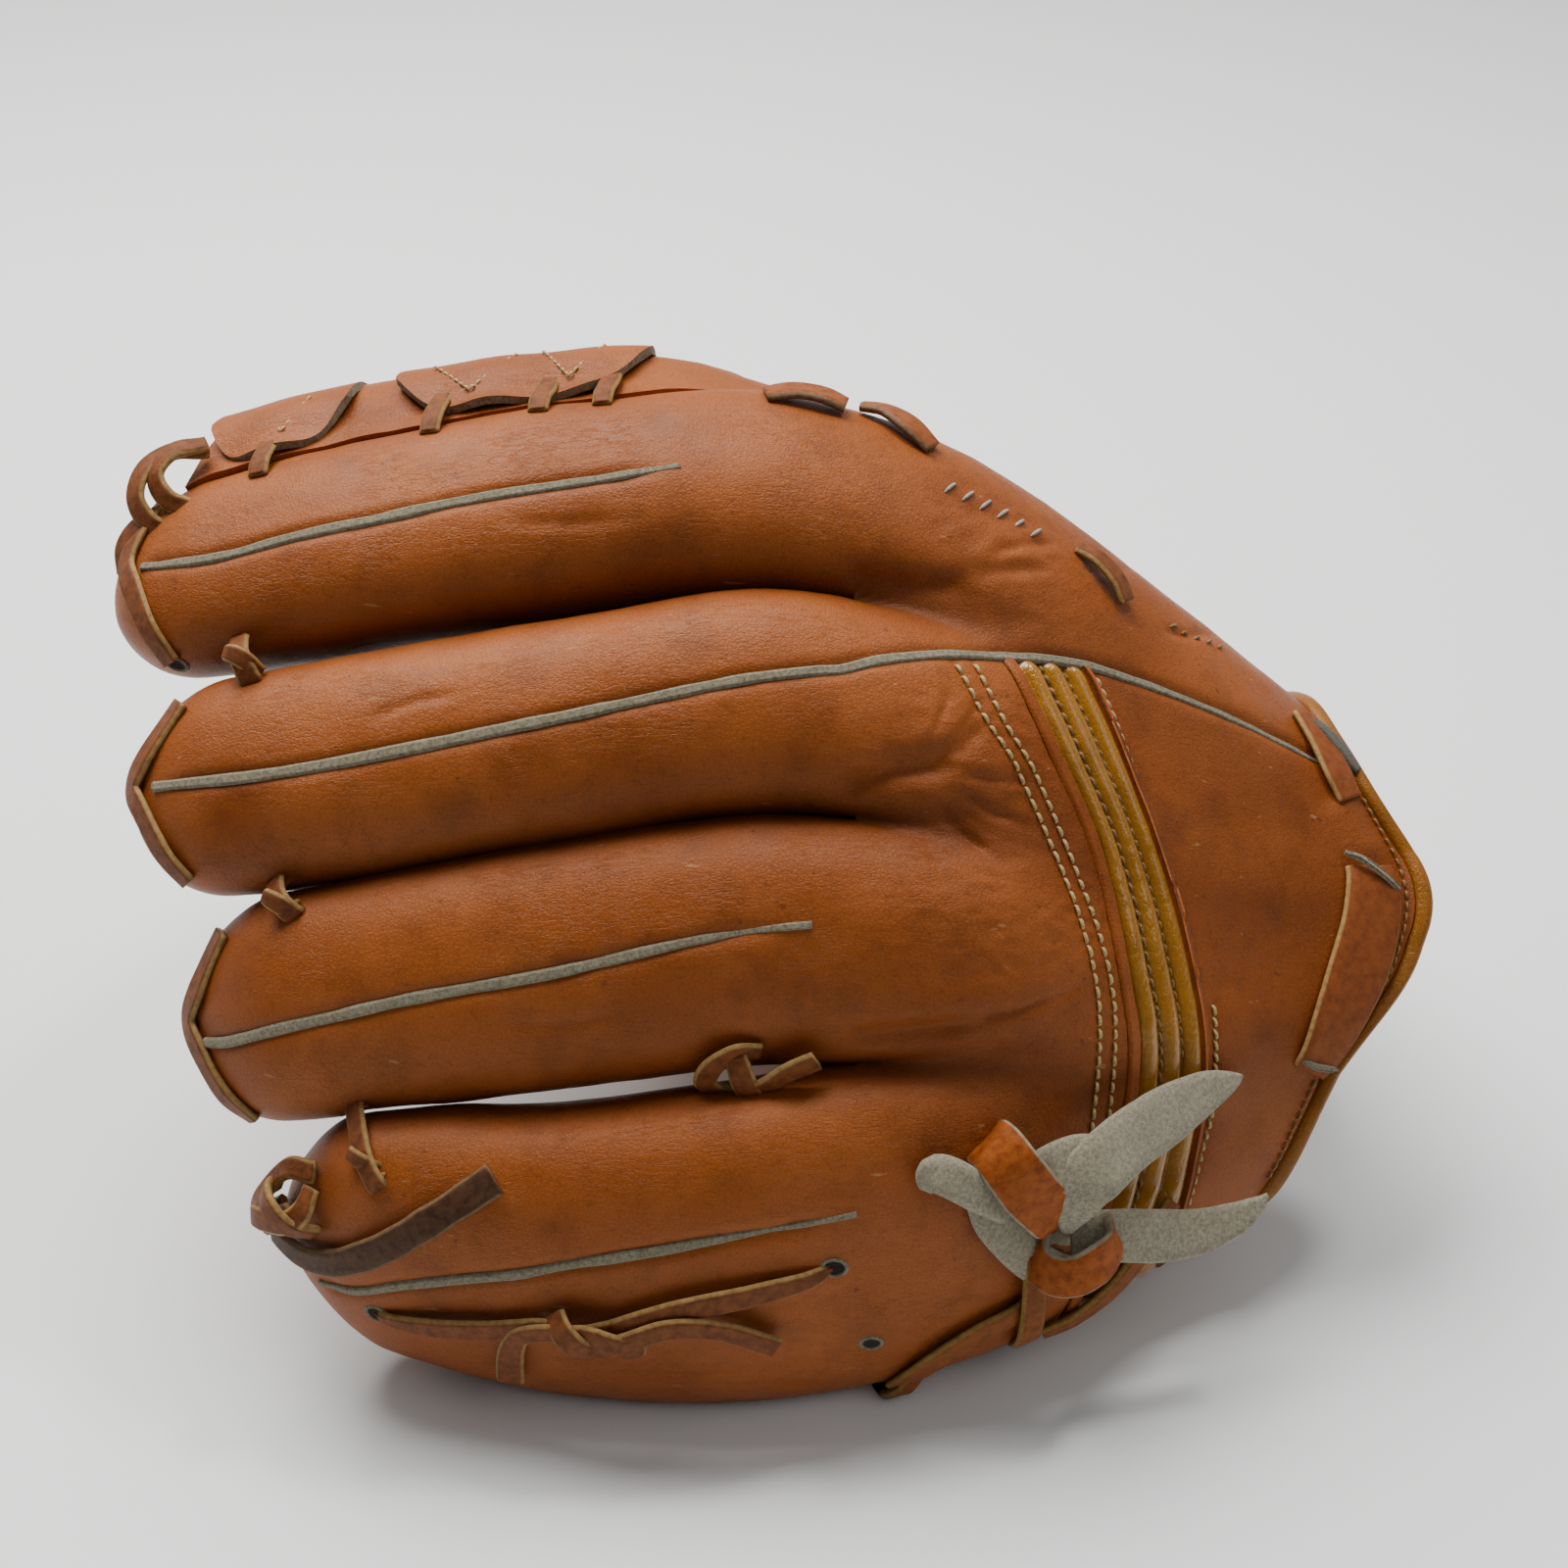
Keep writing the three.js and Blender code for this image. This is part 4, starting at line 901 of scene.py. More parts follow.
def add_panels(leather, palm_leather, band):
    lower = {"low_place": constant(PINKY_EDGE + PLACE_GAP), "high_place": welt_place(-PLACE_GAP)}
    back = {**lower, "start_x": constant(KNUCKLE_X), "end_x": band_x(1, 0)}
    stretch = {**lower, "start_x": band_x(1, -0.5), "end_x": band_x(2, 0.5)}
    wrist = {**lower, "start_x": band_x(2, 0), "end_x": wrist_edge(PINKY_EDGE, WRIST_WELT_PLACE)}
    upper = {
        "low_place": welt_place(PLACE_GAP),
        "high_place": constant(THUMB_BACK_START - PLACE_GAP),
        "start_x": constant(KNUCKLE_X),
        "end_x": wrist_edge(WRIST_WELT_PLACE, THUMB_BACK_START),
    }
    thumb = {
        "low_place": constant(THUMB_BACK_START + PLACE_GAP),
        "high_place": constant(THUMB_EDGE - PLACE_GAP),
        "start_x": constant(KNUCKLE_X),
        "end_x": wrist_edge(THUMB_BACK_START, THUMB_EDGE),
    }
    palm_end = PERIMETER + PINKY_EDGE
    palm = {
        "low_place": constant(THUMB_EDGE + PLACE_GAP),
        "high_place": constant(palm_end - PLACE_GAP),
        "start_x": constant(KNUCKLE_X),
        "end_x": wrist_edge(THUMB_EDGE, palm_end),
    }
    add_panel("hand_back", back, (52, 170), BACK_WALL, leather)
    add_panel("stretch_band", stretch, (24, 160), BACK_WALL, band, 0.5, band_relief)
    add_panel("wrist_panel", wrist, (52, 150), BACK_WALL, leather)
    add_panel("upper_back", upper, (112, 100), BACK_WALL, leather)
    add_panel("thumb_back", thumb, (100, 90), BACK_WALL, leather, 1.5)
    add_panel("palm", palm, (110, 260), PALM_WALL, palm_leather, 1.7)


# The stretch band across: its folded leather edge's share, its ribs, and their heights.
BAND_STRIP = 0.17
BAND_RIBS = 3
BAND_GROOVE = -1.9
BAND_CREST = 2.5
BAND_STRIP_LIFT = -0.5


# The stretch band has rounded ribs along its length, beside a flat strip.
def band_relief(x, place):
    share = np.clip((place - PINKY_EDGE) / (read_column(WELT_TABLE, 1, x) - PINKY_EDGE), 0, 1)
    left, right = read_column(BAND_TABLE, 1, share), read_column(BAND_TABLE, 2, share)
    across = (x - left) / (right - left)
    ribs = np.clip((across - BAND_STRIP) / (1 - BAND_STRIP), 0, 1) * BAND_RIBS
    crest = np.abs(np.sin(np.pi * ribs)) ** 0.55
    return np.where(across < BAND_STRIP, BAND_STRIP_LIFT, BAND_GROOVE + BAND_CREST * crest)


# Pairs of x and perimeter place along the band, at a share across it.
def band_line(across, start=0.0, end=1.0, count=40):
    share = np.linspace(start, end, count)
    x = band_x(1, 0)(share) * (1 - across) + band_x(2, 0)(share) * across
    top = read_column(WELT_TABLE, 1, x)
    return list(zip(x, PINKY_EDGE + (top - PINKY_EDGE) * share))


# A smooth curve through rows of numbers, with points about `step` apart by its first three.
def spline(rows, step):
    rows = np.array(rows, float)
    padded = np.concatenate([[2 * rows[0] - rows[1]], rows, [2 * rows[-1] - rows[-2]]])
    pieces = []
    for i in range(len(rows) - 1):
        a, b, c, d = padded[i : i + 4]
        count = max(int(np.linalg.norm((c - b)[:3]) / step), 1)
        t = (np.arange(count) / count)[:, None]
        pieces.append(
            0.5 * (2 * b + (c - a) * t + (2 * a - 5 * b + 4 * c - d) * t**2 + (3 * b - a - 3 * c + d) * t**3)
        )
    return np.concatenate(pieces + [rows[-1:]])


# The skin point and normal at addresses on a finger or the hand, with the leather's relief.
def skin_frame(name, x, turn):
    x, turn = np.array(x, float), np.array(turn, float)
    if name == "web":
        return web_frame(x, turn)
    step = 0.6
    turn_step = step / PLACE_LENGTH if name == "hand" else math.degrees(step / FINGER_RADIUS)

    def skin(px, pturn):
        return hand_skin(px, pturn) if name == "hand" else stall_skin(name, px, pturn)

    along = skin(x + step, turn) - skin(x - step, turn)
    across = skin(x, turn + turn_step) - skin(x, turn - turn_step)
    point = skin(x, turn)
    normal = unit(np.cross(along, across))
    if name == "hand":
        inner = hand_lining(x, turn, BACK_WALL)
    else:
        s = section(name, x)
        inner = np.stack([x, s["y"], s["z"]], axis=-1)
    facing = np.sign(np.sum(normal * (point - inner), axis=-1))
    return point + normal * facing[:, None] * relief(point)[:, None], normal * facing[:, None]


# Rows of (address name, x, turn, lift, width) become rows of point, normal and width.
def skin_rows(rows):
    result = np.zeros((len(rows), 7))
    for name in sorted({row[0] for row in rows}):
        picks = [i for i, row in enumerate(rows) if row[0] == name]
        x, turn, lift, width = np.array([rows[i][1:] for i in picks], float).T
        point, normal = skin_frame(name, x, turn)
        result[picks] = np.concatenate([point + normal * lift[:, None], normal, width[:, None]], axis=1)
    return result


# Rows of a strap in the air, all facing one way, from rows of x, y, z and width.
def free_rows(rows, facing):
    return [[x, y, z, *facing, width] for x, y, z, width in rows]


# How far along a line each of its points lies.
def lengths_along(points):
    return np.concatenate([[0], np.cumsum(np.linalg.norm(np.diff(points, axis=0), axis=1))])


# Three columns of a line's rows, read at lengths along it.
def read_line(rows, gone, lengths, first=0):
    return np.stack([np.interp(lengths, gone, rows[:, k]) for k in range(first, first + 3)], axis=1)


# The weight of a turn beside a millimetre of x, where a line of stitches is smoothed.
TURN_SCALE = 30
# Where along its half length a stitch has a ring of points, and the sides of each ring.
STITCH_SHARES = [-1, -0.7, -0.25, 0.25, 0.7, 1]
STITCH_SIDES = 6


# Stitches along pairs of x and turn: short rounded threads that dip in at both ends.
def add_stitches(name, where, pairs, pitch, length, thickness, material, slant=0.0, lift=0.0):
    x, turn = spline([[px, place * TURN_SCALE] for px, place in pairs], 1.5).T
    line = spline(skin_rows([(where, x[i], turn[i] / TURN_SCALE, lift, 1.0) for i in range(len(x))]), 0.5)
    gone = lengths_along(line[:, :3])
    middles = np.arange(pitch / 2, gone[-1], pitch)
    centre = read_line(line, gone, middles)
    normal = unit(read_line(line, gone, middles, 3))
    along = unit(read_line(line, gone, middles + 0.5) - read_line(line, gone, middles - 0.5))
    side = unit(np.cross(normal, along))
    turn = math.radians(slant)
    run = along * math.cos(turn) + side * math.sin(turn)
    cross = unit(np.cross(normal, run))
    uneven = 1 + 0.12 * noise(centre, 2.3, 4)[:, None]
    rings = []
    for share in STITCH_SHARES:
        bulge = math.sqrt(max(1 - share * share, 0))
        radius = thickness / 2 * (0.45 + 0.55 * bulge)
        height = thickness * (0.75 * bulge - 0.3)
        middle = centre + run * (share * length / 2) * uneven + normal * height
        for k in range(STITCH_SIDES):
            a = 2 * math.pi * k / STITCH_SIDES
            rings.append(middle + cross * (radius * math.cos(a)) + normal * (radius * math.sin(a)))
    points = np.stack(rings, axis=1)
    count, per = points.shape[:2]
    one = quads(len(STITCH_SHARES), STITCH_SIDES, 0, True)
    faces = []
    for i in range(count):
        faces += [tuple(f) for f in one + i * per]
        faces.append(tuple(range(i * per, i * per + STITCH_SIDES)))
        faces.append(tuple(range((i + 1) * per - 1, (i + 1) * per - STITCH_SIDES - 1, -1)))
    obj = add_object(name, points.reshape(-1, 3), faces, material)
    fix_facing(obj)
    return declare(obj)


# A strap's section from corner to corner. Columns: share of the half width and of the half
# thickness, shift along each in sizes of the rounding, and how much of a cut edge it is.
STRAP_SECTION = [
    [-1, 1, 1, 0, 0.3],
    [-0.5, 1, 0, 0, 0],
    [0, 1, 0, 0, 0],
    [0.5, 1, 0, 0, 0],
    [1, 1, -1, 0, 0.3],
    [1, 1, 0, -1, 1],
    [1, -1, 0, 1, 1],
    [1, -1, -1, 0, 1],
    [0, -1, 0, 0, 0],
    [-1, -1, 1, 0, 1],
    [-1, -1, 0, 1, 1],
    [-1, 1, 0, -1, 1],
]
STRAP_BACK = (7, 8, 9)
ABOVE_FLOOR = 0.1


# A flat strap along rows of point, normal and width. Its cut edges have the attribute
# `edge` at 1, its back face has `flesh` at 1.
def add_strap(name, rows, thickness, material, step=1.0, rounding=0.42, node=None, wobble=0.0):
    line = spline(rows, step)
    centre, normal, width = line[:, :3], unit(line[:, 3:6]), line[:, 6]
    along = unit(np.gradient(centre, axis=0))
    side = unit(np.cross(along, normal))
    up = unit(np.cross(side, along))
    if wobble:
        width = width * (1 + wobble * noise(centre, 6, 5))
        centre = centre + up * (wobble * 2 * noise(centre, 9, 6))[:, None]
    half, tall = width / 2, np.minimum(thickness, width * 0.8) / 2
    corner = np.minimum(tall * 2 * rounding, half)
    ring = []
    for u, v, c, d, _ in STRAP_SECTION:
        across = u * half + c * corner
        height = v * tall + d * corner
        ring.append(centre + side * across[:, None] + up * (tall + height)[:, None])
    grid = np.stack(ring, axis=1)
    count, columns = grid.shape[:2]
    ends = [centre[:1] + up[:1] * tall[0], centre[-1:] + up[-1:] * tall[-1]]
    points = np.concatenate([grid.reshape(-1, 3), *ends])
    faces = [tuple(f) for f in quads(count, columns, 0, True)]
    first, last = count * columns, count * columns + 1
    for k in range(columns):
        following = (k + 1) % columns
        faces.append((first, following, k))
        faces.append((last, (count - 1) * columns + k, (count - 1) * columns + following))
    points[:, 2] = np.maximum(points[:, 2], FLOOR_Z + ABOVE_FLOOR)
    edge = np.tile([row[4] for row in STRAP_SECTION], (count, 1))
    flesh = np.tile(np.isin(np.arange(columns), STRAP_BACK), (count, 1)).astype(float)
    attributes = {
        "edge": np.concatenate([edge.ravel(), [1, 1]]),
        "flesh": np.concatenate([flesh.ravel(), [0, 0]]),
    }
    obj = add_object(name, points, faces, material, None, attributes)
    fix_facing(obj)
    return declare(obj, node)


# Turns all faces of a closed mesh to point out.
def fix_facing(obj):
    mesh = bmesh.new()
    mesh.from_mesh(obj.data)
    bmesh.ops.recalc_face_normals(mesh, faces=mesh.faces)
    mesh.to_mesh(obj.data)
    mesh.free()


# Shader helpers
def new_material(name):
    material = bpy.data.materials.new(name)
    material.use_nodes = True
    nodes = material.node_tree.nodes
    nodes.clear()
    output = nodes.new("ShaderNodeOutputMaterial")
    shader = nodes.new("ShaderNodeBsdfPrincipled")
    material.node_tree.links.new(shader.outputs["BSDF"], output.inputs["Surface"])
    return material, shader


# Gives a node's input a value, or a link from another node's output.
def feed(material, socket, value):
    if isinstance(value, bpy.types.NodeSocket):
        material.node_tree.links.new(value, socket)
    else:
        socket.default_value = value


def set_inputs(material, node, inputs):
    for key, value in inputs.items():
        feed(material, node.inputs[key], value)


def add_node(material, kind, settings=None, inputs=None):
    node = material.node_tree.nodes.new(kind)
    for key, value in (settings or {}).items():
        setattr(node, key, value)
    set_inputs(material, node, inputs or {})
    return node


def position(material, scale=(1000.0, 1000.0, 1000.0)):
    where = add_node(material, "ShaderNodeTexCoord").outputs["Object"]
    return add_node(material, "ShaderNodeMapping", None, {"Vector": where, "Scale": scale}).outputs["Vector"]


def noise_value(material, vector, scale, detail=4.0, roughness=0.5):
    inputs = {"Vector": vector, "Scale": scale, "Detail": detail, "Roughness": roughness}
    return add_node(material, "ShaderNodeTexNoise", None, inputs).outputs["Fac"]


def ramp(material, value, stops):
    node = add_node(material, "ShaderNodeValToRGB", None, {"Fac": value})
    elements = node.color_ramp.elements
    while len(elements) < len(stops):
        elements.new(0.5)
    for element, (place, colour) in zip(elements, stops):
        element.position = place
        element.color = colour if len(colour) == 4 else (*colour, 1)
    return node.outputs["Color"]


def mix(material, factor, first, second, blend="MIX"):
    node = add_node(material, "ShaderNodeMix", {"data_type": "RGBA", "blend_type": blend})
    set_inputs(material, node, {0: factor, 6: first, 7: second})
    return node.outputs[2]


def math_node(material, operation, *values):
    node = add_node(material, "ShaderNodeMath", {"operation": operation})
    set_inputs(material, node, dict(enumerate(values)))
    return node.outputs[0]


def attribute(material, name):
    return add_node(material, "ShaderNodeAttribute", {"attribute_name": name}).outputs["Fac"]


def bump(material, height, strength, distance, normal=None):
    inputs = {"Height": height, "Strength": strength, "Distance": distance}
    if normal is not None:
        inputs["Normal"] = normal
    return add_node(material, "ShaderNodeBump", None, inputs).outputs["Normal"]


def voronoi(material, vector, scale):
    inputs = {"Vector": vector, "Scale": scale}
    node = add_node(material, "ShaderNodeTexVoronoi", {"feature": "DISTANCE_TO_EDGE"}, inputs)
    return node.outputs["Distance"]


def grey(value):
    return (value, value, value, 1)


# Stains, fine blotches and specks on leather. Columns: the noise's scale, detail and
# roughness, the values where the darkening starts and ends, and its greatest share.
STAINS = [
    [0.07, 6.0, 0.6, 0.5, 0.74, 0.42],
    [0.55, 6.0, 0.7, 0.54, 0.7, 0.3],
    [0.34, 2.0, 0.5, 0.7, 0.78, 0.5],
]


# Tanned leather with a fine pebble grain, darker where it is worn, and with painted shade in the valleys
# between fingers.
def leather_material(name, light, mid, dark, roughness=0.46):
    material, shader = new_material(name)
    where = position(material)
    broad = noise_value(material, where, 0.022, 4.0, 0.55)
    colour = ramp(material, broad, [(0.36, (*mid, 1)), (0.66, (*light, 1))])
    for scale, detail, noise_roughness, start, end, share in STAINS:
        stain = noise_value(material, where, scale, detail, noise_roughness)
        stain_share = ramp(material, stain, [(start, BLACK), (end, grey(share))])
        colour = mix(material, stain_share, colour, (*dark, 1))
    # Painted shade: the colour darkens towards the dark colour the deeper a point lies in a valley between
    # fingers.
    valley = math_node(material, "MULTIPLY", attribute(material, "valley"), VALLEY_SHADE)
    colour = mix(material, valley, colour, (*dark, 1))
    along = position(material, (160.0, 1000.0, 1000.0))
    scratch = noise_value(material, along, 0.5, 2.0, 0.5)
    scratch_share = ramp(material, scratch, [(0.735, BLACK), (0.76, grey(0.45))])
    colour = mix(material, scratch_share, colour, (*PALE_SCRATCH, 1))
    cells = voronoi(material, where, 1.05)
    grain = ramp(material, cells, [(0.0, BLACK), (0.2, WHITE)])
    pore_share = ramp(material, cells, [(0.0, grey(0.3)), (0.1, BLACK)])
    colour = mix(material, pore_share, colour, (*dark, 1))
    line = math_node(material, "SUBTRACT", noise_value(material, along, 0.62, 3.0, 0.6), 0.5)
    crease = ramp(material, math_node(material, "ABSOLUTE", line), [(0.0, BLACK), (0.035, WHITE)])
    crease_place = ramp(material, noise_value(material, where, 0.05, 2.0), [(0.42, BLACK), (0.6, WHITE)])
    crease_height = mix(material, crease_place, WHITE, crease)
    normal = bump(material, grain, 0.3, 0.00016)
    normal = bump(material, noise_value(material, where, 0.8, 6.0, 0.65), 0.4, 0.0004, normal)
    normal = bump(material, crease_height, 0.35, 0.0003, normal)
    polish = noise_value(material, where, 0.09, 4.0)
    look = {
        "Base Color": colour,
        "Normal": normal,
        "Roughness": math_node(material, "MULTIPLY_ADD", polish, 0.22, roughness - 0.11),
        "Specular IOR Level": 0.3,
        "Specular Tint": (1.0, 0.74, 0.6, 1),
    }
    set_inputs(material, shader, look)
    return material


# Suede and the flesh side of laces: matt, with a short nap in mottled colours.
def suede_material(name, light, dark, mottle=0.5):
    material, shader = new_material(name)
    where = position(material)
    value = noise_value(material, where, 1.3, 5.0, 0.75)
    colour = ramp(material, value, [(0.36, (*dark, 1)), (0.62, (*light, 1))])
    broad = ramp(material, noise_value(material, where, 0.12, 3.0), [(0.45, BLACK), (0.75, grey(mottle))])
    colour = mix(material, broad, colour, (*dark, 1))
    nap = noise_value(material, where, 2.2, 6.0, 0.8)
    look = {
        "Base Color": colour,
        "Normal": bump(material, nap, 0.8, 0.0007),
        "Roughness": 0.95,
        "Sheen Weight": 0.15,
        "Specular IOR Level": 0.1,
    }
    set_inputs(material, shader, look)
    return material


# A lace: a grain face, a suede back, and pale cut edges.
def lace_material(name, face, edge, dark, back):
    material, shader = new_material(name)
    where = position(material)
    value = noise_value(material, where, 0.45, 6.0, 0.65)
    colour = ramp(material, value, [(0.34, (*dark, 1)), (0.6, (*face, 1))])
    nap = noise_value(material, where, 1.5, 5.0, 0.75)
    back_colour = ramp(material, nap, [(0.36, tuple(0.45 * c for c in back)), (0.62, back)])
    colour = mix(material, attribute(material, "flesh"), colour, back_colour)
    rim = noise_value(material, where, 0.9, 4.0, 0.6)
    rim_colour = ramp(material, rim, [(0.3, tuple(0.55 * c for c in edge)), (0.6, edge)])
    edge_share = ramp(material, attribute(material, "edge"), [(0.35, BLACK), (0.65, WHITE)])
    colour = mix(material, edge_share, colour, rim_colour)
    look = {
        "Base Color": colour,
        "Normal": bump(material, nap, 0.5, 0.0004),
        "Roughness": 0.55,
        "Specular IOR Level": 0.22,
        "Specular Tint": (1.0, 0.8, 0.65, 1),
    }
    set_inputs(material, shader, look)
    return material


# The stretch band's glossy sheet, with fine cracks across its ribs and painted shade in its grooves.
def band_material():
    material, shader = new_material("band")
    where = position(material)
    value = noise_value(material, where, 0.16, 5.0, 0.6)
    colour = ramp(material, value, [(0.3, (0.29, 0.112, 0.005)), (0.7, (0.38, 0.155, 0.009))])
    # Painted shade: the band darkens to near black where it lies low between its ribs.
    groove_shade = ramp(material, attribute(material, "low"), [(0.35, BLACK), (0.95, grey(0.75))])
    colour = mix(material, groove_shade, colour, (0.05, 0.014, 0.002, 1))
    cracks = voronoi(material, position(material, (1000.0, 500.0, 500.0)), 1.1)
    height = ramp(material, cracks, [(0.0, BLACK), (0.16, WHITE)])
    normal = bump(material, height, 0.35, 0.0002)
    normal = bump(material, noise_value(material, where, 0.9, 5.0, 0.6), 0.25, 0.0004, normal)
    look = {
        "Base Color": colour,
        "Normal": normal,
        "Roughness": 0.2,
        "Coat Weight": 0.7,
        "Coat Roughness": 0.1,
        "Specular IOR Level": 0.6,
        "Specular Tint": (1.0, 0.88, 0.6, 1),
    }
    set_inputs(material, shader, look)
    return material


# Waxed thread with a twist.
def thread_material(name, light, dark):
    material, shader = new_material(name)
    where = position(material)
    value = noise_value(material, where, 2.4, 3.0, 0.6)
    colour = ramp(material, value, [(0.38, (*dark, 1)), (0.6, (*light, 1))])
    height = bump(material, value, 0.5, 0.0002)
    set_inputs(material, shader, {"Base Color": colour, "Normal": height, "Roughness": 0.6})
    return material


BLACK = (0.0, 0.0, 0.0, 1.0)
WHITE = (1.0, 1.0, 1.0, 1.0)
# How far the valleys between fingers are darkened as painted shade.
VALLEY_SHADE = 0.8
PALE_SCRATCH = (0.5, 0.26, 0.12)
TAN = (0.34, 0.2, 0.07)
FLESH = (0.26, 0.17, 0.09)

# Leathers: light, middle and dark colour, and roughness
leather = leather_material("leather", (0.335, 0.088, 0.0155), (0.25, 0.06, 0.0085), (0.066, 0.0125, 0.0016))
palm_leather = leather_material(
    "palm leather", (0.28, 0.08, 0.021), (0.22, 0.06, 0.0138), (0.075, 0.018, 0.004), 0.55
)
binding = leather_material("binding", (0.3, 0.11, 0.012), (0.22, 0.075, 0.008), (0.09, 0.026, 0.003), 0.32)

# Suedes: light and dark colour, and share of dark mottles
suede = suede_material("welt suede", (0.37, 0.325, 0.225), (0.155, 0.13, 0.08), 0.3)
pale_suede = suede_material("tie suede", (0.5, 0.45, 0.33), (0.25, 0.215, 0.145), 0.25)
# Painted shade in the opening of a slot, with a suede nap.
slot_shade = suede_material("slot shade", (0.13, 0.12, 0.09), (0.045, 0.04, 0.03))
# Painted shade for the insides of the eyelet holes.
hole_shade = suede_material("hole", (0.02, 0.012, 0.008), (0.008, 0.005, 0.003))

# Laces and straps: colours of the face, the cut edges, the face's dark spots and the back
two_sided = lace_material(
    "tie wrap", (0.36, 0.088, 0.012), (0.33, 0.29, 0.2), (0.2, 0.04, 0.004), (0.33, 0.3, 0.2)
)
lace = lace_material("lace", (0.2, 0.06, 0.017), TAN, (0.1, 0.028, 0.008), FLESH)
dark_lace = lace_material(
    "dark lace", (0.085, 0.038, 0.018), (0.17, 0.095, 0.045), (0.035, 0.014, 0.007), (0.1, 0.05, 0.025)
)
heel_look = lace_material("heel lace", (0.25, 0.072, 0.017), (0.3, 0.17, 0.045), (0.15, 0.04, 0.008), FLESH)
belt_look = lace_material("belt", (0.255, 0.066, 0.014), (0.4, 0.235, 0.08), (0.17, 0.04, 0.009), FLESH)
flap_look = lace_material("flap", (0.28, 0.075, 0.018), (0.22, 0.13, 0.07), (0.15, 0.035, 0.008), FLESH)

# Threads: light and dark colour
yellow_thread = thread_material("yellow thread", (0.6, 0.44, 0.19), (0.34, 0.23, 0.08))
tan_thread = thread_material("tan thread", (0.3, 0.17, 0.05), (0.13, 0.06, 0.015))
grey_thread = thread_material("grey thread", (0.45, 0.42, 0.36), (0.25, 0.22, 0.17))
band = band_material()

for finger in ("index", "middle", "ring", "pinky", "thumb"):
    stall = add_stall(finger, leather)
add_panels(leather, palm_leather, band)

CROTCH_PLACES = [3.7, 5.16]
CROTCH_COLUMNS = 9
CROTCH_ROWS = 5


# The leather that closes the hand between the index finger and the thumb.
def add_crotch_wall():
    columns, rows = CROTCH_COLUMNS, CROTCH_ROWS
    place = np.linspace(*CROTCH_PLACES, columns)
    back = hand_skin(np.full(columns, KNUCKLE_X), place)
    palm = hand_skin(np.full(columns, KNUCKLE_X), 2 * LAST + 1 - place)
    layers = []
    for x in (KNUCKLE_X - GAP - BACK_WALL, KNUCKLE_X - GAP):
        grid = back[:, None, :] + (palm - back)[:, None, :] * np.linspace(0, 1, rows)[None, :, None]
        grid[..., 0] = x
        layers.append(grid)
    points = np.concatenate([layer.reshape(-1, 3) for layer in layers])
    per = columns * rows
    faces = [tuple(f) for f in quads(columns, rows)] + [tuple(f[::-1]) for f in quads(columns, rows, per)]
    front, rear = border_loop(columns, rows, 0), border_loop(columns, rows, per)
    for k in range(len(front)):
        following = (k + 1) % len(front)
        faces.append((front[k], rear[k], rear[following], front[following]))
    obj = add_object("crotch_leather", points, faces, leather)
    fix_facing(obj)
    declare(obj, "crotch_wall")


add_crotch_wall()

# The welts' thickness, their place above the skin, and the share of their width that shows
WELT_THICKNESS = 2.0
WELT_LIFT = -0.75
WELT_SHOWN = 0.62


# The middle finger's welt on the hand. Columns: x, width.
HAND_WELT_WIDTH = [[19, 2.5], [60, 2.3], [80, 1.9], [100, 1.7], [124, 1.5]]
HAND_WELT_STEPS = 40
LEAST_WELT = 1.5


def add_welt(name):
    x = welt_x(name)[::2]
    turn, width = [read_column(WELTS[name], column, x) for column in (1, 2)]
    rows = [[name, x[i], turn[i], WELT_LIFT, max(WELT_SHOWN * width[i], LEAST_WELT)] for i in range(len(x))]
    if name == "middle":
        start, end = HAND_WELT_WIDTH[0][0], HAND_WELT_WIDTH[-1][0]
        for px in np.linspace(start, end, HAND_WELT_STEPS):
            place, shown = read_column(WELT_TABLE, 1, px), read_column(HAND_WELT_WIDTH, 1, px)
            rows.append(["hand", px, place, WELT_LIFT, shown])
    stations, node = skin_rows(rows), name + "_welt"
    add_strap(node + "_strip", stations, WELT_THICKNESS, suede, 0.8, 0.3, node, wobble=0.12)


for finger in WELTS:
    add_welt(finger)

LACE_WIDTH = 5.8
LACE_THICKNESS = 1.8

# Laces over the finger tips. Columns: x, angle round the finger.
TIP_LACES = {
    "index": [[-138, 64], [-143, 40], [-144.5, 8], [-142, -32], [-137.5, -62], [-133, -82]],
    "middle": [[-129, 66], [-136, 40], [-139, 6], [-136.5, -35], [-131, -60], [-126, -72]],
    "ring": [[-119, 72], [-124.5, 45], [-127, 6], [-124.5, -36], [-119, -62], [-113, -76]],
}


# A lace on the skin of a finger or the hand. Columns of its rows: x, turn, width, and
# sometimes a lift of its own.
def lace_on(name, rows, lift, thickness=LACE_THICKNESS, node=None, piece=None, material=None, wobble=0.06):
    stations = skin_rows([[name, *row[:2], lift + (row[3] if len(row) > 3 else 0), row[2]] for row in rows])
    return add_strap(piece, stations, thickness, material or lace, 0.6, node=node, wobble=wobble)


for finger, rows in TIP_LACES.items():
    rows = [[*row, LACE_WIDTH] for row in rows]
    lace_on(finger, rows, 0.1, node=finger + "_tip_lace", piece=finger + "_tip_strap")

# Short laces that tie neighbouring fingers. Columns: upper finger, x, angle, lower finger, x, angle.
TIES = [
    ["index", -117, -74, "middle", -114, 66],
    ["middle", -107, -72, "ring", -103, 64],
    ["ring", -90, -66, "pinky", -84, 62],
]
TIE_WIDTH = 5.0
TIE_LIFT = 0.3
TIE_RISE = 2.6
TIE_DIP = 1.5
# The curled end of a finger tie. Columns: height, shift along x and z, width.
TIE_CURL = [[0.2, -2.6, 1.0, 3.6], [1.6, -0.6, 0.2, 4.2], [1.6, 1.6, -1.4, 4.2], [0.2, 3.2, -3.4, 3.8]]


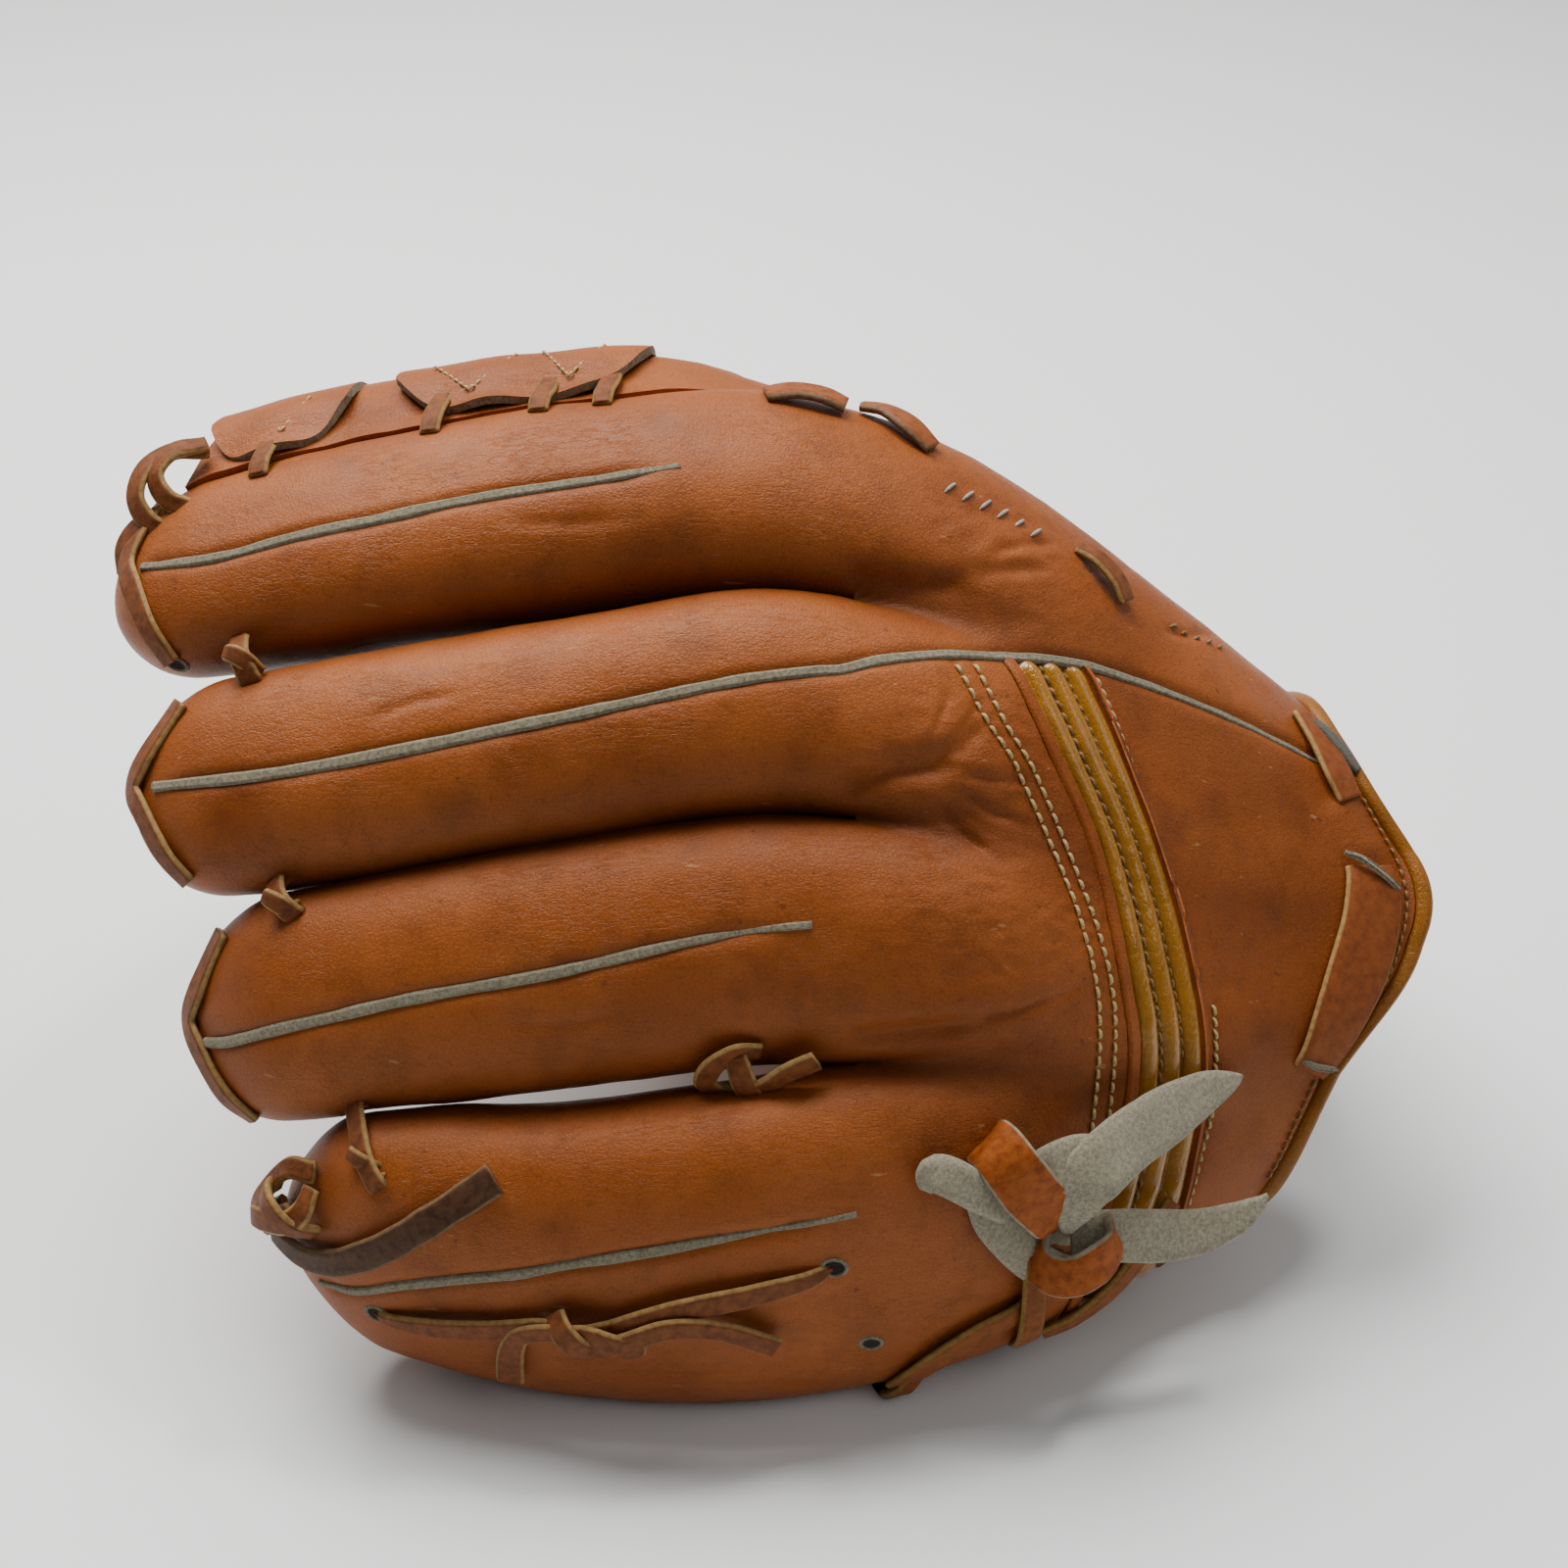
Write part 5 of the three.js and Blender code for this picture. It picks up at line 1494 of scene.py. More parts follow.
# A lace from finger to finger, and its end curled beside it.
def add_finger_tie(row):
    first, last = skin_rows([[*address, TIE_LIFT, TIE_WIDTH] for address in (row[:3], row[3:])])
    facing = unit(first[3:6] + last[3:6])
    middle = (first[:3] + last[:3]) / 2 + facing * TIE_RISE
    points = [first[:3] - facing * TIE_DIP, first[:3], middle, last[:3], last[:3] - facing * TIE_DIP]
    rows = [[*p, *facing, TIE_WIDTH] for p in points]
    name = f"{row[0]}_{row[3]}_tie"
    add_strap(name + "_strap", rows, LACE_THICKNESS, lace, 0.5, node=name, wobble=0.08)
    tail = [[*(middle + facing * h + np.array([dx, 0, dz])), *facing, w] for h, dx, dz, w in TIE_CURL]
    add_strap(name + "_curl", tail, 1.6, lace, 0.5, wobble=0.08)


for row in TIES:
    add_finger_tie(row)

# The knotted lace in the valley between ring and little finger. Columns: x, angle, width, lift.
RING_PINKY_KNOT = {
    "loop": [[-5, -56, 4.6, 0.2], [-10, -54, 5, 1.4], [-15, -58, 5.2, 2.6], [-16.6, -66, 5.2, 3.6],
             [-12.5, -73, 5.2, 4.2], [-6, -73, 5, 4.0], [-1, -70, 4.6, 2.0]],
    "cross": [[-10, -56, 4.6, 1.8], [-8.5, -64, 5.6, 5.2], [-7, -72, 5.6, 5.8], [-6, -78, 4.6, 3.6]],
    "end": [[-9, -70, 4.6, 4.8], [-4, -65, 5.4, 5.2], [1, -59, 5.6, 4.4], [6.5, -54, 5.6, 3.4]],
}
for i, (name, rows) in enumerate(RING_PINKY_KNOT.items()):
    lace_on("ring", rows, 0.1, node=None if i else "ring_pinky_knot", piece="ring_pinky_" + name)


# Works out the rows of a free end of flat lace on the little finger, along the strap's middle line; nothing
# is made or kept from them.
def declare_free_end(rows, lift):
    stations = skin_rows([["pinky", *row[:2], row[3] + lift, row[2]] for row in rows])


# The little finger's tip lace: its flat tail. Columns: x, angle, width, lift.
PINKY_TAIL = [
    [-101, 50, 5.6, 3.0],
    [-107, 40, 6, 3.4],
    [-108.5, 22, 6.2, 2.8],
    [-107, 4, 6.4, 1.8],
    [-101, -1, 6.6, 1.0],
    [-93, 14, 6.8, 0.9],
    [-83, 34, 7, 1.1],
    [-72, 52, 7, 1.4],
    [-59, 67, 7, 1.4],
]
# The little finger's knot, with the same columns.
PINKY_KNOT = {
    "turn": [[-98, 70, 4.6, 0.2], [-102, 76, 5, 3.0], [-106, 71, 5.2, 4.6], [-107.5, 60, 5.2, 5.2],
             [-106, 50, 5.2, 5.4], [-101.5, 46, 5.2, 5.0], [-98, 52, 5, 4.0], [-97, 62, 4.6, 2.0]],
    "wrap": [[-98.5, 36, 5, 0.6], [-100, 46, 5.4, 5.4], [-102, 58, 5.6, 7.2], [-104, 68, 5.2, 5.6],
             [-105, 76, 4.6, 2.0]],
    "under": [[-104, 58, 4.8, 1.6], [-108, 48, 5.4, 3.0], [-108.5, 34, 5.8, 3.6], [-108, 16, 5.8, 2.6]],
}
tail = lace_on("pinky", PINKY_TAIL, 0.3, node="pinky_tip_knot", piece="pinky_tail", material=dark_lace)
declare_free_end(PINKY_TAIL, 0.3)
for name, rows in PINKY_KNOT.items():
    lace_on("pinky", rows, 0.2, 2.0, piece="pinky_knot_" + name)

# The long lace on the little finger. Columns: x, angle, width, lift.
PINKY_LOOP = {
    "left_run": [[-86.5, -33, 2.4, -1.6], [-84, -31, 3.6, 0], [-76, -25, 5, 1.0], [-62, -14, 5.4, 1.4],
                 [-52, -5, 5, 1.4], [-47, -3, 4.6, 1.8]],
    "right_run": [[-42, -8, 4.6, 1.6], [-36, -4, 5, 1.4], [-30, 3, 5.4, 1.6], [-20, 10, 5.6, 1.5],
                  [-8, 12.5, 5.6, 1.0], [4, 15, 4.6, 0.2], [9.5, 17, 2.4, -1.6]],
    "left_end": [[-43, -4, 4.6, 3.0], [-50, -5, 4.8, 2.8], [-55, -12, 5, 2.2], [-57, -24, 5.4, 1.4],
                 [-58, -38, 5.8, 1.0], [-58.5, -52, 6, 1.0]],
    "right_end": [[-44, -12, 4.8, 2.2], [-38, -14, 5, 3.2], [-31, -6, 5, 3.4], [-23, 0, 5.2, 3.2],
                  [-13, -6, 5.4, 2.4], [-2, -24, 5.8, 1.4]],
    "knot_over": [[-47, 4, 4.8, 1.2], [-45.5, -1, 5.6, 4.0], [-42.5, -10, 5.8, 4.6], [-39, -19, 5, 1.4]],
    "knot_cross": [[-46, -14, 4.6, 1.4], [-42, -4, 5.4, 3.2], [-36, -7, 5.4, 4.2], [-31, -16, 5.2, 2.2],
                   [-34, -22, 4.8, 0.8]],
}
for i, (name, rows) in enumerate(PINKY_LOOP.items()):
    strap = lace_on("pinky", rows, 0.2, node=None if i else "pinky_loop_lace", piece="pinky_loop_" + name)
    if name == "right_end":
        declare_free_end(rows, 0.2)

# Small holes where laces go in: (name, x, turn) and radius.
HOLES = [
    [("pinky", -86.8, -33), 2.1],
    [("pinky", 10.4, 17.5), 2.1],
    [("index", -133, -84), 2.2],
    [("hand", 18.5, -0.22), 1.8],
]
HOLE_RIM = 0.7
HOLE_SIDES = 20
HOLE_LONG, HOLE_SHORT = 1.15, 0.85
# The rim's circles and the dark face in it, which is painted shade in the hole. Columns: shares of the radius
# and of the rim, height.
RIM_CIRCLES = [[1, 1, 0.02], [1, 0.4, 0.5], [1, 0, 0.35], [0.8, 0, -0.4]]
PIT_CIRCLE = [0.95, 0, 0.12]


# An eyelet: a suede rim round a dark face of painted shade in the hole.
def add_hole(index, address, radius):
    name, x, turn = address
    point, normal = [values[0] for values in skin_frame(name, [x], [turn])]
    first = unit(np.cross(normal, [0.3, 0.2, 0.9]))
    second = np.cross(normal, first)
    turns = np.arange(HOLE_SIDES) * 2 * math.pi / HOLE_SIDES

    def circle(share, rim, height):
        size = radius * share + HOLE_RIM * rim
        outward = [first * math.cos(a) * HOLE_LONG + second * math.sin(a) * HOLE_SHORT for a in turns]
        return [point + way * size + normal * height for way in outward]

    points = np.concatenate([circle(*row) for row in RIM_CIRCLES])
    rim = add_object(f"hole_rim_{index}", points, quads(len(RIM_CIRCLES), HOLE_SIDES, 0, True), suede)
    fix_facing(rim)
    declare(rim)
    # The hole itself: a dark disc of painted shade.
    dark = add_object(f"hole_{index}", circle(*PIT_CIRCLE), [range(HOLE_SIDES)], hole_shade)
    declare(dark)


for i, (address, radius) in enumerate(HOLES):
    add_hole(i, address, radius)

# The wide strap tied at the heel: each length's thickness, then its rows.
# Columns: x, y, z, width.
WRIST_TIE_FACING = (0.15, -0.82, 0.52)
WRIST_TIE = {
    "nub": (3.4, [[30, 2.2, 67.5, 5], [31.5, 0.5, 70.5, 8], [35.5, 0, 68.8, 8.5], [40, 0.8, 64.5, 8],
                  [46, 2.2, 59.5, 7.5]]),
    "band": (2.0, [[41, 2.5, 62, 8], [44, 1.3, 55.5, 9], [48.4, 1.2, 48.8, 9], [54.3, 2.4, 41.5, 9],
                   [59.5, 4.2, 37.5, 8], [63, 6, 37.5, 6]]),
    "behind": (2.0, [[67, 10, 65, 9], [61.5, 7.2, 67.8, 10.5], [56, 4.6, 67.3, 11], [51, 3.5, 64, 10]]),
    "upper_end": (1.9, [[59.6, 3, 52, 3], [60.6, 2.6, 58, 9], [62.6, 3.6, 64, 12.8], [66.4, 6.6, 67.2, 13.8],
                        [73, 13, 68.2, 13.8], [81.3, 20.4, 67.8, 12.8], [89.9, 27.4, 67.6, 9.6],
                        [95.5, 31, 67.3, 5.6], [99.6, 33.5, 67, 0.8]]),
    "lower_end": (1.9, [[61, 5.4, 47.5, 9], [67.5, 5.2, 47.6, 11], [74.4, 7, 45.5, 11.6], [82, 9, 43.4, 11.4],
                        [90, 11, 42.8, 10], [97.3, 13, 44.5, 7.4], [101.5, 14.6, 46.6, 4.4],
                        [104.6, 16, 48.6, 0.8]]),
}
for i, (name, (thickness, rows)) in enumerate(WRIST_TIE.items()):
    stations = free_rows(rows, WRIST_TIE_FACING)
    node = None if i else "wrist_tie"
    add_strap("tie_" + name, stations, thickness, pale_suede, 0.6, 0.35, node, wobble=0.03)

# The two wraps of the tie, whose faces turn as they go round. Columns: x, y, z, then the
# way the face looks, then width.
UPPER_WRAP = [
    [42.6, 8.0, 70.5, -0.5, 0.1, 0.8, 11],
    [43.8, 4.2, 73.6, -0.35, -0.55, 0.8, 12],
    [46.8, 0.6, 71.6, -0.1, -0.8, 0.6, 12.4],
    [51.2, -0.4, 65.0, 0.1, -0.86, 0.5, 12.4],
    [55.6, 1.4, 58.2, 0.3, -0.85, 0.3, 12.2],
    [58.0, 5.0, 52.5, 0.5, -0.8, -0.2, 11],
]
LOWER_WRAP = [
    [62.5, 6.6, 48.0, 0.1, 0.8, -0.2, 9],
    [57.4, 4.4, 47.2, -0.8, 0.4, 0.1, 9.5],
    [54.6, 0.6, 45.8, -0.9, -0.4, 0.15, 10],
    [56.8, -2.6, 44.2, -0.35, -0.9, 0.25, 10],
    [61.6, -3.2, 44.6, 0.1, -0.95, 0.3, 10],
    [66.4, -1.2, 46.8, 0.5, -0.8, 0.3, 10],
    [69.0, 2.6, 48.6, 0.9, -0.4, 0.2, 9.5],
    [67.0, 5.8, 49.4, 0.4, 0.8, 0, 9],
]
for name, rows in (("upper_wrap", UPPER_WRAP), ("lower_wrap", LOWER_WRAP)):
    add_strap("tie_" + name, rows, 1.9, two_sided, 0.5, 0.35, wobble=0.03)

# Lacing along the heel's little-finger edge. Columns: x, perimeter place, width, lift.
HEEL_LACE = {
    "first": [[24, -0.4, 5, 0.0], [28, -0.34, 6, 0.8], [33, -0.3, 6.6, 1.0], [42, -0.26, 6.4, 1.0],
              [49, -0.24, 5.8, 0.8], [54, -0.22, 4, -0.8]],
    "cross": [[53, -0.02, 5.2, -0.6], [52.4, -0.12, 5.6, 1.4], [51.6, -0.3, 6, 2.4], [51, -0.5, 6, 1.8]],
    "second": [[56, -0.36, 5, 0.2], [63, -0.34, 6, 0.9], [71, -0.3, 6, 1.0], [79, -0.22, 6, 0.8],
               [85, -0.14, 4.6, -0.6]],
    "loop": [[29, -0.36, 4.6, -0.4], [25, -0.4, 5.4, 1.8], [21.5, -0.47, 5.8, 2.4], [20, -0.58, 5.4, 1.0]],
}
for i, (name, rows) in enumerate(HEEL_LACE.items()):
    lace_on("hand", rows, 0.1, 2.0, None if i else "heel_lace", piece="heel_" + name, material=heel_look)

# The wrist belt's two visible lengths. Columns: x, perimeter place, width, lift.
BELT = {
    "wrist_belt_lower": [
        [131.6, 1.76, 13, -0.4],
        [132, 1.6, 14.4, 0.2],
        [131.8, 1.4, 15, 0.2],
        [130.7, 1.15, 15.4, 0.2],
        [128.6, 0.9, 15.6, 0.2],
        [125.6, 0.65, 15.2, 0.2],
        [121.8, 0.4, 13.8, 0.2],
        [118.6, 0.22, 11.6, 0.1],
        [116.6, 0.12, 10, -0.8],
    ],
    "wrist_belt_upper": [
        [119, 3.04, 8, 0.2],
        [122, 2.82, 9, 0.7],
        [125, 2.58, 9.4, 0.8],
        [128, 2.38, 8, -0.8],
    ],
}
for name, rows in BELT.items():
    node = "wrist_belt" if name.endswith("lower") else None
    lace_on("hand", rows, 0, 1.8, node, piece=name, material=belt_look, wobble=0.01)

# Edges of the slots that the belt goes through, cut suede for the first two and for the third a dark strip of
# painted shade in the slot's opening: material, then rows like the belt's.
SLOTS = [
    [suede, [125.2, 1.86, 1.2, 1.0], [128.8, 1.79, 1.8, 2.0], [133, 1.68, 1.8, 2.2], [138, 1.52, 1.4, 1.2]],
    [suede, [113.8, 0.28, 1.2, 0.4], [116.6, 0.18, 1.7, 1.2], [120.4, 0.08, 1.7, 1.2],
     [123.2, 0.0, 1.2, 0.6]],
    # A dark strip of painted shade in the upper slot's opening.
    [slot_shade, [120, 3.04, 3, 0.4], [123.4, 2.95, 5, 1.6], [127, 2.84, 5, 1.8], [131, 2.7, 3, 1.2]],
]
for i, (look, *rows) in enumerate(SLOTS):
    lace_on("hand", rows, 0, 1.3, piece=f"slot_edge_{i}", material=look, wobble=0.08)

# The binding's steps round the opening, half length along x, rise above the leather, and
# how square its section is.
BINDING_STEPS = 420
BINDING_HALF = 2.2
BINDING_RISE = 0.8
BINDING_SQUARENESS = 2.5
BINDING_SIDES = 18
BINDING_ABOVE_FLOOR = 0.05


# The rolled edge round the whole wrist opening.
def add_binding():
    place = PINKY_EDGE + PERIMETER * np.arange(BINDING_STEPS) / BINDING_STEPS
    end = wrist_x(place)
    wall = np.where(place > THUMB_EDGE, PALM_WALL, BACK_WALL)
    outer = hand_skin(end, place)
    inner = hand_lining(end, place, wall)
    up = unit(outer - inner)
    half = np.linalg.norm(outer - inner, axis=1) / 2 + BINDING_RISE
    centre = (outer + inner) / 2
    centre[:, 0] = end + BINDING_HALF
    wave = 0.25 * noise(centre, 9, 3)
    rings = []
    for k in range(BINDING_SIDES):
        a = 2 * math.pi * k / BINDING_SIDES
        c, d = [math.copysign(abs(v) ** (2 / BINDING_SQUARENESS), v) for v in (math.cos(a), math.sin(a))]
        ring = centre + up * ((half + wave) * d)[:, None]
        ring[:, 0] += BINDING_HALF * c
        rings.append(ring)
    points = np.stack(rings, axis=1)
    points[..., 2] = np.maximum(points[..., 2], FLOOR_Z + BINDING_ABOVE_FLOOR)
    index = np.arange((BINDING_STEPS + 1) * BINDING_SIDES) % (BINDING_STEPS * BINDING_SIDES)
    faces = index[quads(BINDING_STEPS + 1, BINDING_SIDES, 0, True)]
    piece = add_object("binding_roll", points.reshape(-1, 3), [tuple(f) for f in faces], binding)
    fix_facing(piece)
    declare(piece, "wrist_binding")


add_binding()

# The stitch rows: on the leather, between the band's ribs, and beside the binding.
for name, (pitch, length, *pairs) in STITCH_ROWS.items():
    slant = 14 if name.startswith("wrist") else 0
    add_stitches("stitches_" + name, "hand", pairs, pitch, length + 0.2, 0.9, yellow_thread, slant, lift=0.15)
FIRST_GROOVE = BAND_STRIP + (1 - BAND_STRIP) / BAND_RIBS
SECOND_GROOVE = BAND_STRIP + 2 * (1 - BAND_STRIP) / BAND_RIBS
first_line = band_line(FIRST_GROOVE)
add_stitches("stitches_band_1", "hand", first_line, 3.0, 2.5, 0.9, tan_thread, slant=8, lift=-0.95)
second_line = band_line(SECOND_GROOVE, 0.35, 1.0)
add_stitches("stitches_band_2", "hand", second_line, 2.6, 2.0, 0.7, tan_thread, lift=-1.15)
WRIST_STITCH_INSET = 1.9
binding_line = [(wrist_x(np.array([p]))[0] - WRIST_STITCH_INSET, p) for p in np.linspace(2.6, -0.35, 30)]
add_stitches("stitches_binding", "hand", binding_line, 2.6, 2.0, 0.7, tan_thread, lift=0.3)

# Folded leather edges on both sides of the band. Columns: name, share across, lift, width.
FOLDED_EDGES = [["band_strip", BAND_STRIP / 2, -0.75, 3.1], ["wrist_fold", 1.0, -0.55, 2.6]]
for name, across, lift, width in FOLDED_EDGES:
    rows = [("hand", px, place, lift, width) for px, place in band_line(across)]
    add_strap(name, skin_rows(rows), 1.5, leather, rounding=0.48, wobble=0.02)

# The web between index finger and thumb: its crest and shoulder. Columns: x, crest y and z,
# shoulder y and z.
WEB_TABLE = [
    [-130, 146, 168, 168, 154],
    [-100, 153, 174, 173, 156],
    [-60, 157, 178, 178, 154],
    [-20, 159, 176, 182, 142],
    [9, 160, 164, 184, 124],
]
WEB_THICKNESS = 5
# Where the web starts on each finger: angle round it, least x, and height above it.
WEB_INDEX_ANGLE = 66
WEB_THUMB_ANGLE = -62
WEB_INDEX_FIRST_X = -140.0
WEB_THUMB_FIRST_X = -98.0
WEB_NEAR_RISE = 1.5
WEB_NEAR_INSET = 1
WEB_FAR_RISE = 4
WEB_X = np.linspace(-140, 14, 78)
WEB_SHARES = 61


# The web's outer face on a regular grid of x and share across it.
def web_grid():
    index = stall_skin("index", np.maximum(WEB_X, WEB_INDEX_FIRST_X), WEB_INDEX_ANGLE)
    thumb = stall_skin("thumb", np.maximum(WEB_X, WEB_THUMB_FIRST_X), WEB_THUMB_ANGLE)
    y1, z1, y2, z2 = [read_column(WEB_TABLE, column, WEB_X) for column in range(1, 5)]
    result = []
    for i, px in enumerate(WEB_X):
        near = [px, index[i][1] - WEB_NEAR_INSET, index[i][2] + WEB_NEAR_RISE]
        far = [px, thumb[i][1], thumb[i][2] + WEB_FAR_RISE]
        curve = spline([near, [px, y1[i], z1[i]], [px, y2[i], z2[i]], far], 1.0)
        gone = lengths_along(curve)
        result.append(read_line(curve, gone, np.linspace(0, gone[-1], WEB_SHARES)))
    return np.array(result)


WEB_GRID = web_grid()


# Points on the web's outer face at x and shares across it, from index finger to thumb.
def web_points(x, share):
    u = np.clip((x - WEB_X[0]) / (WEB_X[1] - WEB_X[0]), 0, len(WEB_X) - 1.001)
    v = np.clip(share * (WEB_SHARES - 1), 0, WEB_SHARES - 1.001)
    i, j = u.astype(int), v.astype(int)
    s, t = (u - i)[..., None], (v - j)[..., None]
    near = WEB_GRID[i, j] * (1 - t) + WEB_GRID[i, j + 1] * t
    far = WEB_GRID[i + 1, j] * (1 - t) + WEB_GRID[i + 1, j + 1] * t
    return near * (1 - s) + far * s


# The web's points and normals at x and shares across it.
def web_frame(x, share):
    along = web_points(x + 1, share) - web_points(x - 1, share)
    across = web_points(x, share + 0.02) - web_points(x, share - 0.02)
    normal = unit(np.cross(along, across))
    return web_points(x, share), normal * np.sign(normal[:, 2:])


# The panel's fold, and a lobe's wavy, drooping near edge, sunk far edge and round corners
WEB_FOLD = 1.2
WEB_FOLD_PLACE = 0.45
LOBE_WAVE = 1.0
LOBE_WAVE_LENGTH = 24.0
LOBE_SINK = 4.0
LOBE_DROOP = 2.2
LOBE_CORNER = 0.16


# How far the web's face stands out: soft folds, and for a lobe a wavy near edge that sinks
# to the panel at its far edge.
def web_relief(points, share, lobe):
    rise = 0.7 * noise(points, 22, 4) + 0.35 * noise(points, 9, 5) + 0.12 * noise(points, 4, 6)
    if not lobe:
        return rise - WEB_FOLD * np.exp(-(((share - WEB_FOLD_PLACE) / 0.05) ** 2))
    wave = LOBE_WAVE * np.sin(points[..., 0] / LOBE_WAVE_LENGTH * 2 * math.pi) * np.exp(-share / 0.12)
    droop = LOBE_DROOP * np.exp(-(((share - 0.02) / 0.07) ** 2))
    return 0.3 * rise + wave - droop - LOBE_SINK * smoothstep(share, 0.1, 0.34)


def upward(normals):
    return -normals if normals[..., 2].sum() < 0 else normals


# A piece of the web between two x and two shares, its near end slanted. The depths of its
# outer and inner face are below the web's outer face.
def add_web(name, from_x, to_x, slant, shares, depths, size, material):
    rows, columns = strided(size[0]), strided(size[1])
    share = np.linspace(shares[0], shares[1], columns + 1)
    start = from_x + slant * share
    lobe = name != "web_panel"
    along = np.linspace(0, 1, rows + 1)[:, None]
    x = start[None, :] + (to_x - start)[None, :] * along
    left = (share[-1] - share) / (share[-1] - share[0])
    across = share[None, :] + (LOBE_CORNER * np.abs(2 * along - 1) ** 4 if lobe else 0) * left[None, :]
    middle = web_points(x, across)
    normals = upward(grid_normals(middle))
    shift = web_relief(middle, across, lobe)
    outer = middle + normals * (shift - depths[0])[..., None]
    inner = middle + normals * ((shift if lobe else 0 * shift) - depths[1])[..., None]
    inner = inner[::LINING_STRIDE, ::LINING_STRIDE]
    valley = {"valley": np.zeros(x.shape)}
    rim = suede if lobe else None
    piece = leather_piece(
        name + "_leather", outer, upward(grid_normals(outer)), inner, material, False, valley, rim
    )
    declare(piece, name)


add_web("web_panel", -134, 10, 26, (0.0, 1), (0, WEB_THICKNESS), (120, 80), leather)
add_web("web_lobe_rear", -88, -30, 0, (0.01, 0.4), (-4.3, -2.4), (64, 36), leather)
add_web("web_lobe_front", -130, -98, 10, (0.01, 0.4), (-4.3, -2.4), (40, 36), leather)

# V-shaped stitch rows at the lobes' near edges. Columns: x, spread to each side.
LOBE_STITCHES = [[-112, 5], [-70, 9], [-48, 7]]
for i, (x, spread) in enumerate(LOBE_STITCHES):
    for side in (-1, 1):
        pairs = [(x + side * spread * t, 0.05 + 0.13 * t) for t in (0, 0.5, 1)]
        add_stitches(f"lobe_stitches_{i}_{side + 1}", "web", pairs, 2.4, 1.9, 0.7, yellow_thread, lift=3.4)

# Laces from the index finger up to the web's lobes, at these x.
WEB_LACES = (-116, -78, -54, -40)
for i, x in enumerate(WEB_LACES):
    rows = [("index", x, 46, -0.6, 4.6), ("index", x + 0.5, 54, 1.2, 5), ("web", x + 1, 0.01, 1.4, 5),
            ("web", x + 1.6, 0.08, 0.6, 4.6)]
    add_strap(f"web_lace_{i}", skin_rows(rows), 1.8, lace, 0.6, wobble=0.05)

# The lace loops that join the web's tip to the index finger's tip. Columns: x, y, z, width.
WEB_TIP_FACING = (-0.6, -0.5, 0.62)
WEB_TIP_LACE = {
    "first": [[-133, 112, 157, 4.4], [-139.5, 112, 159.5, 5.2], [-143.4, 115.6, 164, 5.6],
              [-142, 121, 168.6, 5.6], [-136.5, 125, 170.6, 5.4], [-130, 128, 169.5, 4.6]],
    "second": [[-130, 114, 162, 4.4], [-136, 114.6, 164.6, 5], [-139, 118.4, 168.4, 5.4],
               [-136, 123, 171.6, 5.4], [-129.5, 126.5, 171.6, 4.6]],
    "third": [[-147, 109, 149, 4.2], [-147, 111.5, 154, 5], [-143.6, 113.6, 158, 5.4],
              [-138.6, 115.5, 160, 5.2], [-133, 118, 160, 4.4]],
}
for i, (name, rows) in enumerate(WEB_TIP_LACE.items()):
    node = None if i else "web_tip_lace"
    stations = free_rows(rows, WEB_TIP_FACING)
    add_strap("web_tip_" + name, stations, 2.0, lace, 0.5, node=node, wobble=0.06)

# On the upper panel: whip stitches, two flap ends, a lace end and a few small stitches.
WHIP_LINE = [[34, 2.99], [45, 2.985], [57, 2.98]]
add_stitches("whip_stitches", "hand", WHIP_LINE, 4.4, 5.0, 0.8, grey_thread, slant=62, lift=0.2)
EDGE_LINE = [[86, 3.0], [93, 3.06], [100, 3.14]]
add_stitches("edge_stitches", "hand", EDGE_LINE, 3.8, 2.4, 0.8, tan_thread, slant=30, lift=0.2)
# Columns: finger or "hand", x, angle or place, lift, width.
FLAPS = {
    "flap_front": [["index", -4, 40, -0.4, 6], ["index", 2, 42, 1.2, 8], ["index", 8, 41, 1.6, 8.4],
                   ["index", 13, 39, 0.8, 7]],
    "flap_rear": [["hand", 17, 3.38, 0.6, 7], ["hand", 22, 3.34, 1.6, 8], ["hand", 27, 3.26, 1.4, 8],
                  ["hand", 32, 3.2, -0.2, 6]],
}
for name, rows in FLAPS.items():
    add_strap(name, skin_rows(rows), 2.0, flap_look, 0.6, 0.4, wobble=0.05)
END_ROWS = [["hand", 65, 3.06, -0.4, 4.5], ["hand", 68, 3.03, 1.4, 5.4], ["hand", 72, 2.97, 1.8, 5.6],
            ["hand", 75, 2.9, 0.6, 5]]
add_strap("upper_lace_end", skin_rows(END_ROWS), 1.8, lace, 0.6, wobble=0.05)


# A round lamp that looks at a target.
def look_from(name, location, target, size, energy, colour):
    data = bpy.data.lights.new(name, "AREA")
    data.shape = "DISK"
    data.size = size
    data.energy = energy
    data.color = colour
    light = bpy.data.objects.new(name, data)
    light.location = location
    away = np.array(location) - np.array(target)
    tilt = math.atan2(math.hypot(away[0], away[1]), away[2])
    light.rotation_euler = (tilt, 0, math.atan2(away[0], -away[1]))
    bpy.context.scene.collection.objects.link(light)


FLOOR_HALF = 6.0
FLOOR_DROP = 0.0002
FLOOR_COLOUR = (0.9, 0.93, 0.93, 1)


